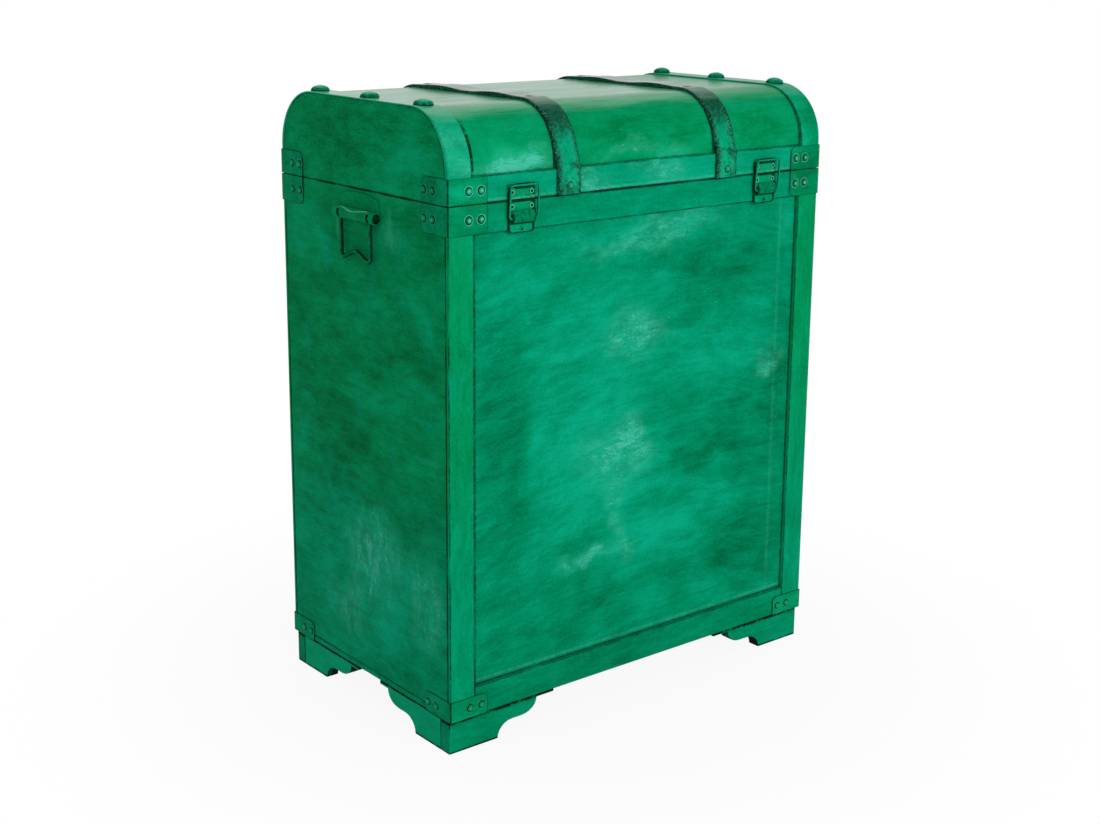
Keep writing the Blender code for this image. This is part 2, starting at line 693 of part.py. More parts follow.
def handle_loop_mesh():
    """Wire loop about its eyes: grips run inward, legs hang, the lower side has a hump for the fingers."""
    grip = LOOP_HALF - LOOP_EYE_BEND - LOOP_GRIP
    top = rounded_path([(0, grip, 0), (0, LOOP_HALF, 0), (0, LOOP_HALF, -LOOP_DROP / 2)], LOOP_EYE_BEND)
    low = rounded_path(
        [
            (0, LOOP_HALF, -LOOP_DROP / 2),
            (0, LOOP_HALF, -LOOP_DROP),
            (0, 0, -LOOP_DROP + LOOP_HUMP),
        ],
        LOOP_BEND,
    )
    crest = Vector((0, 0, -LOOP_DROP + LOOP_CREST))
    half = top[:-1] + low[:-1]
    other = [Vector((0, -p.y, p.z)) for p in reversed(half)]
    return wire(half + [crest] + other, (1, 0, 0), LOOP_WIRE)


def build_handles(chest):
    plate, loop = handle_plate_mesh(), handle_loop_mesh()
    for name, flip in SIDES.items():
        where = (flip * (SIDE_X + HANDLE_OUT), 0, HANDLE_Z)
        chest.place(f"handle_plate_{name}", plate, "green_iron", where, flip=(flip, 1), smooth=True)
        chest.place(f"handle_loop_{name}", loop, "green_iron", where, flip=(flip, 1), smooth=True)


def hinge_leaf(up, knuckles, reliefs):
    """One leaf about the hinge line: up is 1 for the lid's leaf, -1 for the body's."""
    face = FIT - HINGE_AXIS_OUT
    ends = sorted((0, up * HINGE_LEAF))
    leaf = block((-HINGE_HALF, face, ends[0]), (HINGE_HALF, face + PLATE_THICK, ends[1]))
    along = (1, 0, 0)
    rolls = []
    for start, end in knuckles:
        rolls.append(turned([(HINGE_RADIUS, 0), (HINGE_RADIUS, end - start)], (start, 0, 0), along))
    over = 2 * HINGE_RADIUS
    gaps = [block((start, -over, -LEAF_RELIEF), (end, over, LEAF_RELIEF)) for start, end in reliefs]
    bore_radius = HINGE_PIN_RADIUS + RUNNING
    bore = turned([(bore_radius, 0), (bore_radius, 4 * HINGE_HALF)], (-2 * HINGE_HALF, 0, 0), along)
    return cut(join(cut(leaf, *gaps), *rolls), bore)


def build_hinges(chest):
    third = HINGE_HALF / 3
    past = HINGE_HALF + FIT
    middle = [(-third + FIT, third - FIT)]
    outer = [(-HINGE_HALF, -third - FIT), (third + FIT, HINGE_HALF)]
    body_leaf = hinge_leaf(-1, outer, [(-third - FIT, third + FIT)])
    lid_leaf = hinge_leaf(1, middle, [(-past, -third + FIT), (third - FIT, past)])
    head = HINGE_HEAD_RADIUS
    profile = [(head, -past - HINGE_HEAD), (head, -past), (HINGE_PIN_RADIUS, -past)]
    profile += [(radius, -along) for radius, along in reversed(profile)]
    pin = turned(profile, (0, 0, 0), (1, 0, 0))
    for name, flip in SIDES.items():
        where = (flip * (SIDE_X - HINGE_FROM_END), HINGE_Y, JOINT_Z)
        chest.place(f"hinge_body_leaf_{name}", body_leaf, "hinge_steel", where, smooth=True)
        chest.place(f"hinge_lid_leaf_{name}", lid_leaf, "hinge_steel", where, on_lid=True, smooth=True)
        chest.place(f"hinge_pin_{name}", pin, "pin_steel", where, smooth=True)


def main():
    clear_scene()
    chest = Chest()
    build_boards(chest)
    build_frame(chest)
    build_feet(chest)
    build_brackets(chest)
    build_lid(chest)
    build_straps(chest)
    build_latches(chest)
    build_handles(chest)
    build_hinges(chest)
    bpy.context.view_layer.update()


main()
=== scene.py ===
"""Looks of a painted wine chest: rubbed green paint on boards, iron and leather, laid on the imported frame.

Metres, +Z up, front towards -Y.
"""
import json
import math

import bmesh
import bpy
from mathutils import Matrix, Vector, noise

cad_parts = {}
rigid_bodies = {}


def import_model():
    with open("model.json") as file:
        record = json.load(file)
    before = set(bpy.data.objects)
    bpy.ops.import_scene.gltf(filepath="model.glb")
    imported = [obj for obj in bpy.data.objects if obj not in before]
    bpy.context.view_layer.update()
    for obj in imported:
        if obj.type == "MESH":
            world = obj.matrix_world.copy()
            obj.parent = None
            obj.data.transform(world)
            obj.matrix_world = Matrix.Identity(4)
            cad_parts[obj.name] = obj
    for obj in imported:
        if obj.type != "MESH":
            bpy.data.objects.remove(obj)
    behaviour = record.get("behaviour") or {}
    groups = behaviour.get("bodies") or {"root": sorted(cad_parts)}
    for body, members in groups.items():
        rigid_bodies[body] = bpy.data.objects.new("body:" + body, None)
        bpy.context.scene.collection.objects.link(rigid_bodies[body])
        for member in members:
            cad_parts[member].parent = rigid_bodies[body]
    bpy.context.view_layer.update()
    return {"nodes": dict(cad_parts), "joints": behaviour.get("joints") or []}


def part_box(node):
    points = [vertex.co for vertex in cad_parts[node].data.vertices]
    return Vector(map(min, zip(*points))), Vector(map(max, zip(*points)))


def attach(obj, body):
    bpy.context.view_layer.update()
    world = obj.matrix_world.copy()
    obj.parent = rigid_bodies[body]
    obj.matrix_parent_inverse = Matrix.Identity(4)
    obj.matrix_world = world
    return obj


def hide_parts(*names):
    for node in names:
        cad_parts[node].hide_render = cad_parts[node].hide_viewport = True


for leftover in list(bpy.data.objects):
    bpy.data.objects.remove(leftover, do_unlink=True)
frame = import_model()

MM = 0.001


def mm(*sizes):
    return [size * MM for size in sizes]


# Planes of the chest, read from the frame
SIDE_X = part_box("bottom_board")[1].x
FRONT_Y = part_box("front_stile_left")[0].y
BACK_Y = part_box("back_stile_left")[1].y
MIDDLE_Y = (FRONT_Y + BACK_Y) / 2
FACE_Y = (BACK_Y - FRONT_Y) / 2
BODY_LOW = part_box("bottom_board")[0].z
BODY_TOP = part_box("front_stile_left")[1].z
LID_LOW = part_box("lid_front_rail")[0].z
LID_RAIL_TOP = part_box("lid_front_rail")[1].z
JOINT_Z = (BODY_TOP + LID_LOW) / 2
STILE_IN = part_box("front_stile_right")[0].x
TOP_RAIL_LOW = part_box("front_top_rail")[0].z
BOTTOM_RAIL_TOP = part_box("front_bottom_rail")[1].z
BAND_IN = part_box("lid_band_right")[0].x
LATCH_X = sum(v.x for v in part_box("latch_base_right")) / 2
STRAP_X = sum(v.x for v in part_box("strap_right")) / 2
STRAP_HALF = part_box("strap_right")[1].x - STRAP_X
LOOP_PIVOT = next(joint for joint in frame["joints"] if joint["name"] == "handle_loop_left")["pos_m"]
HANDLE_Z = LOOP_PIVOT[2]
HANDLE_OUT = abs(LOOP_PIVOT[0]) - SIDE_X

# Sizes that the frame's boxes don't give
FIT, LAID, SHOULDER, BAND_TOP = mm(0.3, 6, 72, 2)
LID_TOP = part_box("lid_skin")[1].z + BAND_TOP
PLATE_EDGE = 0.4 * MM
BOARD_EASE, FOOT_EASE, LEAF_EASE, PIN_EASE = mm(0.5, 1.2, 0.25, 0.4)
BODY_HOLLOW = (0, MIDDLE_Y, 0.35)
FLOOR_HOLLOW = (0, MIDDLE_Y, BODY_LOW + 0.06)
LID_HOLLOW = (0, MIDDLE_Y, LID_LOW)
FLAT_ANGLE, SHARP_ANGLE, SMOOTH_ANGLE = math.radians(0.5), math.radians(25), math.radians(50)

# Corner brackets and rivets; each kind has a body, and rounded corners low or high
BRACKETS = (("top", "chest", 1, 0), ("bottom", "chest", 0, 1), ("lid", "lid", 0, 1))
BRACKET_FACE_LEG, BRACKET_SIDE_LEG = mm(55, 52)
BRACKET_THICK, BRACKET_CORNER, BRACKET_BEND = mm(0.9, 9, 1)
RIVET_RADIUS, RIVET_HEIGHT = mm(6.6, 2.3)
RIVET_RUNS = mm(28, 45.5)

# Turned heads: shares of radius and height, then the darkening of glazing and painted shade, and the
# lightening of wear and painted highlight
RIVET_STEPS = ((1, 0.10, 0.3, 0.6), (0.95, 0.24, 0, 0.95), (0.85, 0.22, 0, 0.85), (0.77, 0.12, 0.85, 0),
               (0.66, 0.32, 0.85, 0), (0.50, 0.76, 0.35, 0), (0.28, 0.95, 0, 0.9), (0, 1, 0, 1))
SCREW_STEPS = ((1, 0.2, 1, 0), (0.93, 0.75, 0, 1), (0.74, 1, 0, 1), (0.60, 0.85, 0, 1), (0.48, 0.35, 1, 0),
               (0, 0.25, 1, 0))
HEAD_SUNK = 0.3 * MM

# Bands, domed nails and straps on the lid
BAND_THICK = LAID - FIT
NAIL_RADIUS, NAIL_HEIGHT = mm(12, 7)
NAIL_FROM_FACE = 70.5 * MM
STRAP_RAMP = math.radians(15)
STRAP_THICK, STRAP_RIVET_RISE = mm(3.5, 11)
STRAP_NAIL_IN, STRAP_NAIL_RISE = mm(4.5, 0.9)
STRAP_DIP, STRAP_HUMP, STRAP_WAVE = 0.2, 0.7, 0.7 * MM

# Draw latches, measured out from the front frame and up from the lid joint
PLATE_THICK, PLATE_HALF = mm(1.5, 19)
PLATE_FACE = FIT + PLATE_THICK
LID_GAP = LID_LOW - BODY_TOP
CATCH_TOP, BASE_DROP, BASE_CORNER = mm(16, 38.5, 5)
RIB_RADIUS, RIB_RISE, RIB_HALF = mm(2, 3.3, 18.7)
HOOK_HALF, HOOK_SEAT, HOOK_TIP, HOOK_OUT, HOOK_SHEET = mm(10, 15, 20.4, 6.2, 1.3)
SCREW_RADIUS, SCREW_HEIGHT, SCREW_SPREAD = mm(3.3, 1.1, 14.3)
CATCH_SCREW_RISE, BASE_SCREW_DROP, TAB_SCREW_DROP = mm(9.6, 7.3, 34)
PIVOT_OUT, PIVOT_DROP, PIVOT_RADIUS = mm(4.3, 13.5, 1.3)
EAR_THICK, EAR_HALF = mm(1.5, 2.6)
LEVER_HALF, LEVER_OUT, LEVER_DROP, LEVER_BACK = mm(17, 8.6, 27.5, 2.5)
LEVER_RISE, LEVER_LIFT, LEVER_EASE = mm(1.8, 0.3, 0.9)
BAIL_PIN_BELOW, BAIL_PIN_OUT, BAIL_PIN_GRIP = mm(7.4, 1.2, 5)
BAIL_WIRE, BAIL_TOP, BAIL_CLEAR, BAIL_BEND = mm(1.4, 18.5, 0.6, 4)

# Drop handles, measured from the loop's line
HANDLE_HALF, HANDLE_SHOULDER, HANDLE_CROWN = mm(43.5, 19, 9)
BARREL_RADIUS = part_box("handle_plate_right")[1].x - SIDE_X - HANDLE_OUT
BARREL_HALF, BARREL_HOLE = mm(45, 4.9)
BARREL_TALL, BARREL_LIFT = 1.22, 1.5 * MM
LOOP_WIRE, LOOP_HALF, LOOP_DROP = mm(2.5, 32.5, 56)
LOOP_HUMP, LOOP_CREST, LOOP_BEND, LOOP_EYE_BEND, LOOP_GRIP = mm(15, 12.8, 5, 4, 8)
LOOP_SLOT = LOOP_WIRE + 0.5 * MM
HEM_WIRE, HEM_ANGLE, HEM_DIP = 1.6 * MM, 74, 44

PANEL_Y = FRONT_Y + LAID


def on_face(plane, depth, *rows):
    """Soft patches on a face: middle along and up, reach both ways, all in millimetres, and strength."""
    found = []
    for *sizes, strength in rows:
        x, z, wide, tall = mm(*sizes)
        found.append(((x, plane, z), (wide, depth, tall), strength))
    return found


def on_side(depth, *rows):
    """The same on the left side, along Y."""
    found = on_face(-SIDE_X, depth, *rows)
    return [((y, x, z), (deep, wide, tall), strength) for (x, y, z), (wide, deep, tall), strength in found]


# Wipes lighten the paint, or darken it below zero, and dust is pale chalk
FRONT_WIPES = on_face(
    PANEL_Y, 1, (-222, 370, 50, 270, -0.15), (-195, 330, 32, 120, -0.10), (-150, 130, 150, 75, -0.14),
    (215, 345, 105, 110, -0.26), (215, 165, 110, 100, -0.23), (150, 545, 120, 55, -0.26),
    (60, 500, 80, 30, -0.18), (100, 305, 120, 22, -0.26), (80, 165, 160, 45, -0.12),
    (250, 450, 40, 220, -0.14), (-70, 400, 170, 240, 0.24), (0, 618, 210, 30, 0.14),
    (130, 440, 110, 45, 0.14), (110, 235, 120, 45, 0.16), (262, 600, 30, 80, 0.14),
    (0, 200, 130, 70, 0.20), (-200, 580, 90, 70, 0.22)
)
FRONT_DUST = on_face(
    PANEL_Y, 1, (-47, 330, 80, 65, 0.46), (-28, 350, 45, 30, 0.26), (-16, 488, 65, 52, 0.48),
    (12, 609, 140, 24, 0.40), (222, 425, 42, 34, 0.38), (-75, 208, 85, 18, 0.40),
    (-30, 235, 20, 85, 0.28), (98, 630, 60, 14, 0.36)
)
SIDE_WIPES = on_side(
    0.1, (47, 357, 100, 90, -0.24), (-80, 300, 110, 100, -0.14), (-110, 480, 110, 40, -0.18),
    (-144, 560, 60, 70, 0.16), (-10, 420, 110, 50, 0.14), (130, 610, 80, 80, 0.20),
    (-30, 180, 170, 120, 0.20)
)
SIDE_DUST = on_side(
    0.1, (-20, 208, 85, 85, 0.46), (-131, 186, 45, 90, 0.34), (40, 131, 60, 60, 0.28),
    (53, 625, 18, 34, 0.26), (-58, 630, 20, 34, 0.24)
)
BAND_WIPES = on_face(FRONT_Y, 0.12, (SIDE_X / MM, 735, 50, 60, -0.50))
BAND_DUST = on_face(FRONT_Y, 0.05, (-285, 738, 40, 32, 0.32), (-270, 718, 20, 18, 0.30))
IRON_WIPES = on_face(
    FRONT_Y, 0.02, (-275, 690, 50, 22, 0.30), (275, 680, 50, 60, -0.22)
) + on_side(0.02, (-150, 675, 40, 60, -0.15))
END_WIPES = on_side(0.1, (-110, 720, 70, 60, 0.08))
SKIN_WIPES = on_face(
    FRONT_Y, 0.1, (20, 735, 130, 30, -0.20), (70, 715, 120, 20, 0.14), (-215, 728, 80, 34, 0.30),
    (190, 740, 80, 40, -0.20)
)
SKIN_DUST = on_face(
    FRONT_Y, 0.1, (-215, 716, 75, 22, 0.72), (-190, 722, 60, 32, 0.55), (-7, 711, 110, 10, 0.20),
    (70, 716, 35, 16, 0.14)
)
RAIL_DUST = on_face(FRONT_Y, 0.1, (-93.5, 688.5, 40, 20, 0.50), (22, 689, 50, 18, 0.44))

# How the wiping strokes on the panel bow, for each metre, and the gloss of paint and wax
STROKE_BOW = 0.45
PAINT_ROUGH, PAINT_SHINE, PAINT_BUMP = 0.24, 0.004, 0.15 * MM
WAX_ROUGH = 0.18
LEATHER_ROUGH, LEATHER_BUMP = 0.22, 0.2 * MM

# Light and floor
LAMP_PLACE, LAMP_SIZE, LAMP_POWER = (-0.3, -3.8, 1.5), (2.6, 2.0), 62
LAMP_AIM_Z = 0.4
WORLD_LIGHT = 0.50
FLOOR_HALF = 30
FLOOR_GREY = (0.86, 0.86, 0.86, 1)
SHADE_SHARE, SHADE_NEAR, SHADE_FAR = 0.08, 0.30, 0.80

# Camera, solved for a picture of 1100 by 824
PICTURE_WIDTH, PICTURE_HEIGHT = 1100, 824
FOCAL_PIXELS = 1679.8
AXIS_ROW = 345
CAMERA_PLACE = (-1.3902, -1.7122, 0.9608)
CAMERA_TURN, CAMERA_TILT, CAMERA_ROLL = math.radians(-38.90), math.radians(-13.36), math.radians(-0.49)
SENSOR = 36

SIDES = {"left": -1, "right": 1}
FACES = {"front": -1, "back": 1}

# Paint: deep, middle and light coats of the bluer and of the yellower green, and what lies over them, part of
# it painted light: a painted sheen, a darkest tone that also paints shade, and chalk and rubbed paint that
# also paint highlights
COOL = ((0.0001, 0.140, 0.051, 1), (0.0003, 0.290, 0.135, 1), (0.0030, 0.450, 0.262, 1))
WARM = ((0.0001, 0.125, 0.033, 1), (0.0003, 0.275, 0.090, 1), (0.0020, 0.410, 0.182, 1))
EVEN = ((0.0001, 0.132, 0.042, 1), (0.0003, 0.282, 0.112, 1), (0.0025, 0.430, 0.220, 1))
CHALK_AND_HIGHLIGHT = (0.075, 0.600, 0.430, 1)
PAINTED_SHEEN = (0.200, 0.570, 0.340, 1)
DARK_TONE_AND_SHADE = (0.0020, 0.018, 0.011, 1)
LEATHER = (0.012, 0.060, 0.036, 1)
BARE_WOOD = (0.165, 0.088, 0.042, 1)
WOOD_VEIN = (0.085, 0.040, 0.018, 1)
RUBBED_AND_HIGHLIGHT = (0.130, 0.580, 0.410, 1)
STEEL = (0.350, 0.340, 0.320, 1)
WHITE = (1, 1, 1, 1)


class Value:
    """A number that varies over a surface: a socket whose arithmetic adds Math nodes."""

    def __init__(self, nodes, socket):
        self.nodes = nodes
        self.socket = socket

    def math(self, operation, first, second=0.0):
        return self.nodes.node("ShaderNodeMath", {"operation": operation}, {0: first, 1: second})

    def __add__(self, other):
        return self.math("ADD", self, other)

    def __sub__(self, other):
        return self.math("SUBTRACT", self, other)

    def __rsub__(self, other):
        return self.math("SUBTRACT", other, self)

    def __mul__(self, other):
        return self.math("MULTIPLY", self, other)

    def __abs__(self):
        return self.math("ABSOLUTE", self)

    def least(self, other):
        return self.math("MINIMUM", self, other)

    def most(self, other):
        return self.math("MAXIMUM", self, other)

    __radd__ = __add__
    __rmul__ = __mul__


class Nodes:
    """The node tree of a finish, and the masks that the finishes share."""

    def __init__(self, tree):
        self.tree = tree

    def feed(self, socket, value):
        if isinstance(value, Value):
            self.tree.links.new(value.socket, socket)
        else:
            socket.default_value = value

    def fill(self, made, sockets):
        for key, value in sockets.items():
            self.feed(made.inputs[key], value)

    def node(self, kind, settings=None, sockets=None, output=0):
        made = self.tree.nodes.new(kind)
        for name, value in (settings or {}).items():
            setattr(made, name, value)
        self.fill(made, sockets or {})
        return Value(self, made.outputs[output])

    def start(self):
        """Places on the chest at rest, and the same mirrored about its middle."""
        self.place = self.node("ShaderNodeTexCoord", output="Object")
        self.normal = self.node("ShaderNodeTexCoord", output="Normal")
        self.x, self.y, self.z = (self.split(self.place, i) for i in range(3))
        stray = self.node("ShaderNodeTexNoise", {}, {"Vector": self.place, "Scale": 16, "Detail": 4}, "Color")
        stray = self.vector("MULTIPLY", self.vector("SUBTRACT", stray, (0.5, 0.5, 0.5)), (0.09, 0.09, 0.09))
        self.astray = self.vector("ADD", self.place, stray)
        self.across = abs(self.x)
        self.along = abs(self.y - MIDDLE_Y)

    def split(self, vector, part):
        return self.node("ShaderNodeSeparateXYZ", {}, {0: vector}, part)

    def vector(self, operation, first, second, output=0):
        return self.node("ShaderNodeVectorMath", {"operation": operation}, {0: first, 1: second}, output)

    def cloud(self, scale, detail=3.0, rough=0.55, warp=0.0, slant=0.0):
        """Noise with a count of clouds for each metre along X, Y and Z, which may climb along X and bow."""
        place = self.place
        if slant:
            lift = self.node("ShaderNodeCombineXYZ", {}, {"Z": self.x * (self.x * STROKE_BOW - slant)})
            place = self.vector("ADD", place, lift)
        sockets = {"Vector": self.vector("MULTIPLY", place, scale), "Scale": 1.0}
        sockets.update({"Detail": detail, "Roughness": rough, "Distortion": warp})
        return self.node("ShaderNodeTexNoise", {}, sockets)

    def rise(self, value, start, end):
        """0 up to start, 1 from end on, and smooth between; start may be the larger."""
        sockets = {"Value": value, "From Min": start, "From Max": end}
        return self.node("ShaderNodeMapRange", {"interpolation_type": "SMOOTHSTEP"}, sockets)

    def grade(self, value, start, end):
        """0 up to start, 1 from end on, and even between."""
        return self.node("ShaderNodeMapRange", {}, {"Value": value, "From Min": start, "From Max": end})

    def mix(self, mask, first, second):
        return self.node("ShaderNodeMix", {"data_type": "RGBA"}, {0: mask, 6: first, 7: second}, 2)

    def patch(self, centre, reach):
        """1 in the middle of a soft oval patch with a straying edge, 0 outside it."""
        offset = self.vector("DIVIDE", self.vector("SUBTRACT", self.astray, centre), reach)
        return self.rise(self.vector("LENGTH", offset, (0, 0, 0), 1), 1.0, 0.25)

    def edge_gap(self, spans):
        """How far a point on a mirrored box lies from the box's nearest edge."""
        parts = (self.across, self.along, self.z)
        gaps = [(part - low).least(high - part) for part, (low, high) in zip(parts, spans)]
        first, second, third = (abs(gap) for gap in gaps)
        return first.least(second).most(first.most(second).least(third))

    def outline(self, first, second, centre, half, reach):
        """A soft line round a rectangle drawn on a face."""
        past = (abs(first - centre[0]) - half[0]).most(abs(second - centre[1]) - half[1])
        return self.rise(abs(past), reach, 0.0)

    def seam(self, part, at, reach):
        return self.rise(abs(part - at), reach, 0.0)


def finish(name):
    """A new material, its nodes ready, and its Principled shader."""
    material = bpy.data.materials.new(name)
    material.use_nodes = True
    nodes = Nodes(material.node_tree)
    nodes.start()
    return material, nodes, material.node_tree.nodes["Principled BSDF"]


def stretched(count, run, share):
    """Clouds for each metre, drawn out along one axis by a share of their count."""
    return tuple(count * share if axis == run else count for axis in "XYZ")


def coat_colour(nodes, level, coats):
    deep, middle, light = coats
    colour = nodes.mix(nodes.grade(level, 0.0, 0.5), deep, middle)
    return nodes.mix(nodes.grade(level, 0.5, 1.0), colour, light)


def rubbed_paint(nodes, run, coats, tone=0.5, wipes=(), dust=(), mottle=1.0, slant=0.0, scrub=None):
    """Green paint rubbed on in thin coats along a run: its colour, its height and its scuffs.

    Wipes are soft patches that are lighter, or darker if below zero. Dust is patches of pale chalk, drawn out
    along the scrub, which is the run unless given.
    """
    clouds = nodes.cloud(stretched(7, run, 0.6), 3, 0.5)
    blotch = nodes.cloud(stretched(30, run, 0.55), 7, 0.70, 0.3, slant)
    strokes = nodes.rise(nodes.cloud(stretched(60, run, 0.24), 7, 0.78, 0.7, slant), 0.44, 0.56)
    brush = nodes.cloud(stretched(260, run, 0.07), 3)
    grain = nodes.cloud((420, 420, 420), 3)
    chalk = nodes.cloud(stretched(44, scrub or run, 0.45), 8, 0.82, 0.6)
    fleck = nodes.cloud(stretched(400, scrub or run, 0.26), 3, 0.6, 1.6)
    fine = (blotch - 0.5) * 0.7 + (grain - 0.5) * 0.5
    level = tone + (clouds - 0.5) * 0.5 + (brush - 0.5) * 0.28 + fine * mottle + (strokes - 0.5) * 0.14
    for centre, reach, amount in wipes:
        level = level + nodes.patch(centre, reach) * amount
    colour = coat_colour(nodes, level, coats)
    if coats is WARM:
        low = nodes.rise(nodes.z + (clouds - 0.5) * 0.3, 0.42, 0.16)
        smudges = nodes.rise(nodes.cloud(stretched(20, "Z", 0.5), 5, 0.62, 0.5), 0.52, 0.66)
        smudges = smudges * nodes.rise(nodes.z, BODY_TOP, BODY_TOP - 60 * MM)
        colour = nodes.mix((low * 0.8).most(smudges * 0.9), colour, coat_colour(nodes, level, COOL))
    scratch = fleck + (chalk - 0.5) * 0.5
    if dust:
        dust_and_painted_sheen = sum(nodes.patch(centre, reach) * amount for centre, reach, amount in dust)
        scratch = scratch + dust_and_painted_sheen * 0.37
        pale = dust_and_painted_sheen * (0.18 + nodes.rise(chalk, 0.43, 0.58) * 0.74)
        colour = nodes.mix(pale, colour, CHALK_AND_HIGHLIGHT)
    scuffs = nodes.rise(scratch, 0.71, 0.82) * 0.7
    colour = nodes.mix(scuffs, colour, CHALK_AND_HIGHLIGHT)
    height = brush * 0.3 + grain * 0.4 + blotch * 0.4
    return colour, height, scuffs


def top_sheen(nodes):
    """Painted sheen to mix into the colour, and the weight of a shining wax coat, where the lid faces up:
    both end in streaks and are weaker on the right.
    """
    streaks = nodes.cloud((6, 45, 70), 5, 0.6, 0.6) * 0.65 + nodes.cloud((16, 180, 260), 4, 0.7, 0.8) * 0.35
    up = nodes.rise(nodes.split(nodes.normal, 2) + (streaks - 0.5) * 0.4, 0.76, 0.96)
    up = up * (1.0 - nodes.rise(nodes.x, 0.10, 0.27) * 0.6)
    return up * (0.36 + (streaks - 0.5) * 0.7), up * (0.52 + (streaks - 0.5) * 0.9)


def bare_inside(nodes, colour, centre):
    """Bare boards wherever a face looks towards the hollow round a centre."""
    facing = nodes.vector("DOT_PRODUCT", nodes.normal, nodes.vector("SUBTRACT", nodes.place, centre), 1)
    veins = nodes.rise(nodes.cloud((5, 170, 170), 4, 0.6, 0.4), 0.36, 0.70)
    knots = nodes.cloud((3, 16, 16), 3, 0.5, 1.0)
    wood = nodes.mix(veins * 0.6 + (knots - 0.5) * 0.8, BARE_WOOD, WOOD_VEIN)
    return nodes.mix(nodes.rise(facing, 0.0, -0.02), colour, wood)


def set_paint(nodes, shader, colour, roughness, height, bump=PAINT_BUMP, sheen=0.0):
    relief = nodes.node("ShaderNodeBump", {}, {"Height": height, "Distance": bump, "Strength": 1.0})
    nodes.fill(shader, {"Base Color": colour, "Roughness": roughness, "Normal": relief, "Coat Weight": sheen})
    nodes.fill(shader, {"Coat Roughness": WAX_ROUGH, "Specular IOR Level": PAINT_SHINE})


def mirrored(low, high):
    """A span folded about the middle, or the whole of it where it crosses the middle."""
    near, far = sorted((abs(low), abs(high)))
    return (-far, far) if low < 0 < high else (near, far)


def painted_board(name, node, run, coats, tone, lines=None, hollow=None, edge=0.6, wax_and_painted_sheen=False, **strokes):
    """Rubbed paint on a board, with dark glazing and painted shade along its edges and along any lines drawn
    on it.

    A line with a strength below zero is pale.
    """
    material, nodes, shader = finish(name)
    colour, height, scuffs = rubbed_paint(nodes, run, coats, tone, **strokes)
    low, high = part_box(node)
    depths = mirrored(low.y - MIDDLE_Y, high.y - MIDDLE_Y)
    gap = nodes.edge_gap((mirrored(low.x, high.x), depths, (low.z, high.z)))
    ragged = nodes.cloud((170, 170, 170), 3)
    broken = nodes.rise(nodes.cloud((22, 22, 22), 4, 0.6), 0.34, 0.54)
    glaze = nodes.rise(gap + (ragged - 0.5) * (1.6 * MM), 1.9 * MM, 0.4 * MM) * broken * edge
    for line, strength in lines(nodes) if lines else ():
        line = line * nodes.rise(ragged, 0.25, 0.55) * (0.35 + broken * 0.65)
        if strength < 0:
            colour = nodes.mix(line * -strength, colour, CHALK_AND_HIGHLIGHT)
        else:
            glaze = glaze.most(line * strength)
    # Dark glazing in the seams, and painted shade beside raised parts, under the chest and round the fittings
    colour = nodes.mix(glaze, colour, DARK_TONE_AND_SHADE)
    if hollow:
        colour = bare_inside(nodes, colour, hollow)
    sheen = 0.0
    # Painted sheen mixed into the colour where the lid faces up, under a real wax coat
    if wax_and_painted_sheen:
        dust_and_painted_sheen, sheen = top_sheen(nodes)
        colour = nodes.mix(dust_and_painted_sheen, colour, PAINTED_SHEEN)
    set_paint(nodes, shader, colour, PAINT_ROUGH + scuffs * 0.2 + glaze * 0.1, height, sheen=sheen)
    return material


def soften(node, material, slot, body, ease=BOARD_EASE):
    """The CAD board with its edges rounded, standing for the board itself."""
    shape = bmesh.new()
    shape.from_mesh(frame["nodes"][node].data)
    bmesh.ops.remove_doubles(shape, verts=shape.verts, dist=0.01 * MM)
    bmesh.ops.dissolve_limit(shape, angle_limit=FLAT_ANGLE, verts=shape.verts, edges=shape.edges)
    sharp = [edge for edge in shape.edges if edge.calc_face_angle(0) > SHARP_ANGLE]
    bmesh.ops.bevel(shape, geom=sharp, offset=ease, segments=2, profile=0.5, affect="EDGES",
                    clamp_overlap=True)
    settle(shape, f"{node}_painted", material, slot, body, node)


def add_object(name, data):
    made = bpy.data.objects.new(name, data)
    bpy.context.scene.collection.objects.link(made)
    return made


def mesh_of(shape, name, material):
    mesh = bpy.data.meshes.new(name)
    shape.to_mesh(mesh)
    shape.free()
    mesh.materials.append(material)
    return mesh


def settle(shape, name, material, slot, body, *nodes):
    """Turns a finished shape into a piece that rides on its body and stands for its nodes."""
    bmesh.ops.recalc_face_normals(shape, faces=shape.faces)
    mesh = mesh_of(shape, name, material)
    mesh.shade_smooth()
    mesh.set_sharp_from_angle(angle=SMOOTH_ANGLE)
    piece = add_object(name, mesh)
    even = piece.modifiers.new("even_shading", "WEIGHTED_NORMAL")
    even.keep_sharp = True
    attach(piece, body)
    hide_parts(*nodes)


def spokes(first, second, radius, sides):
    """The angles round a circle, each with its spoke."""
    for i in range(sides):
        angle = 2 * math.pi * i / sides
        yield angle, (first * math.cos(angle) + second * math.sin(angle)) * radius


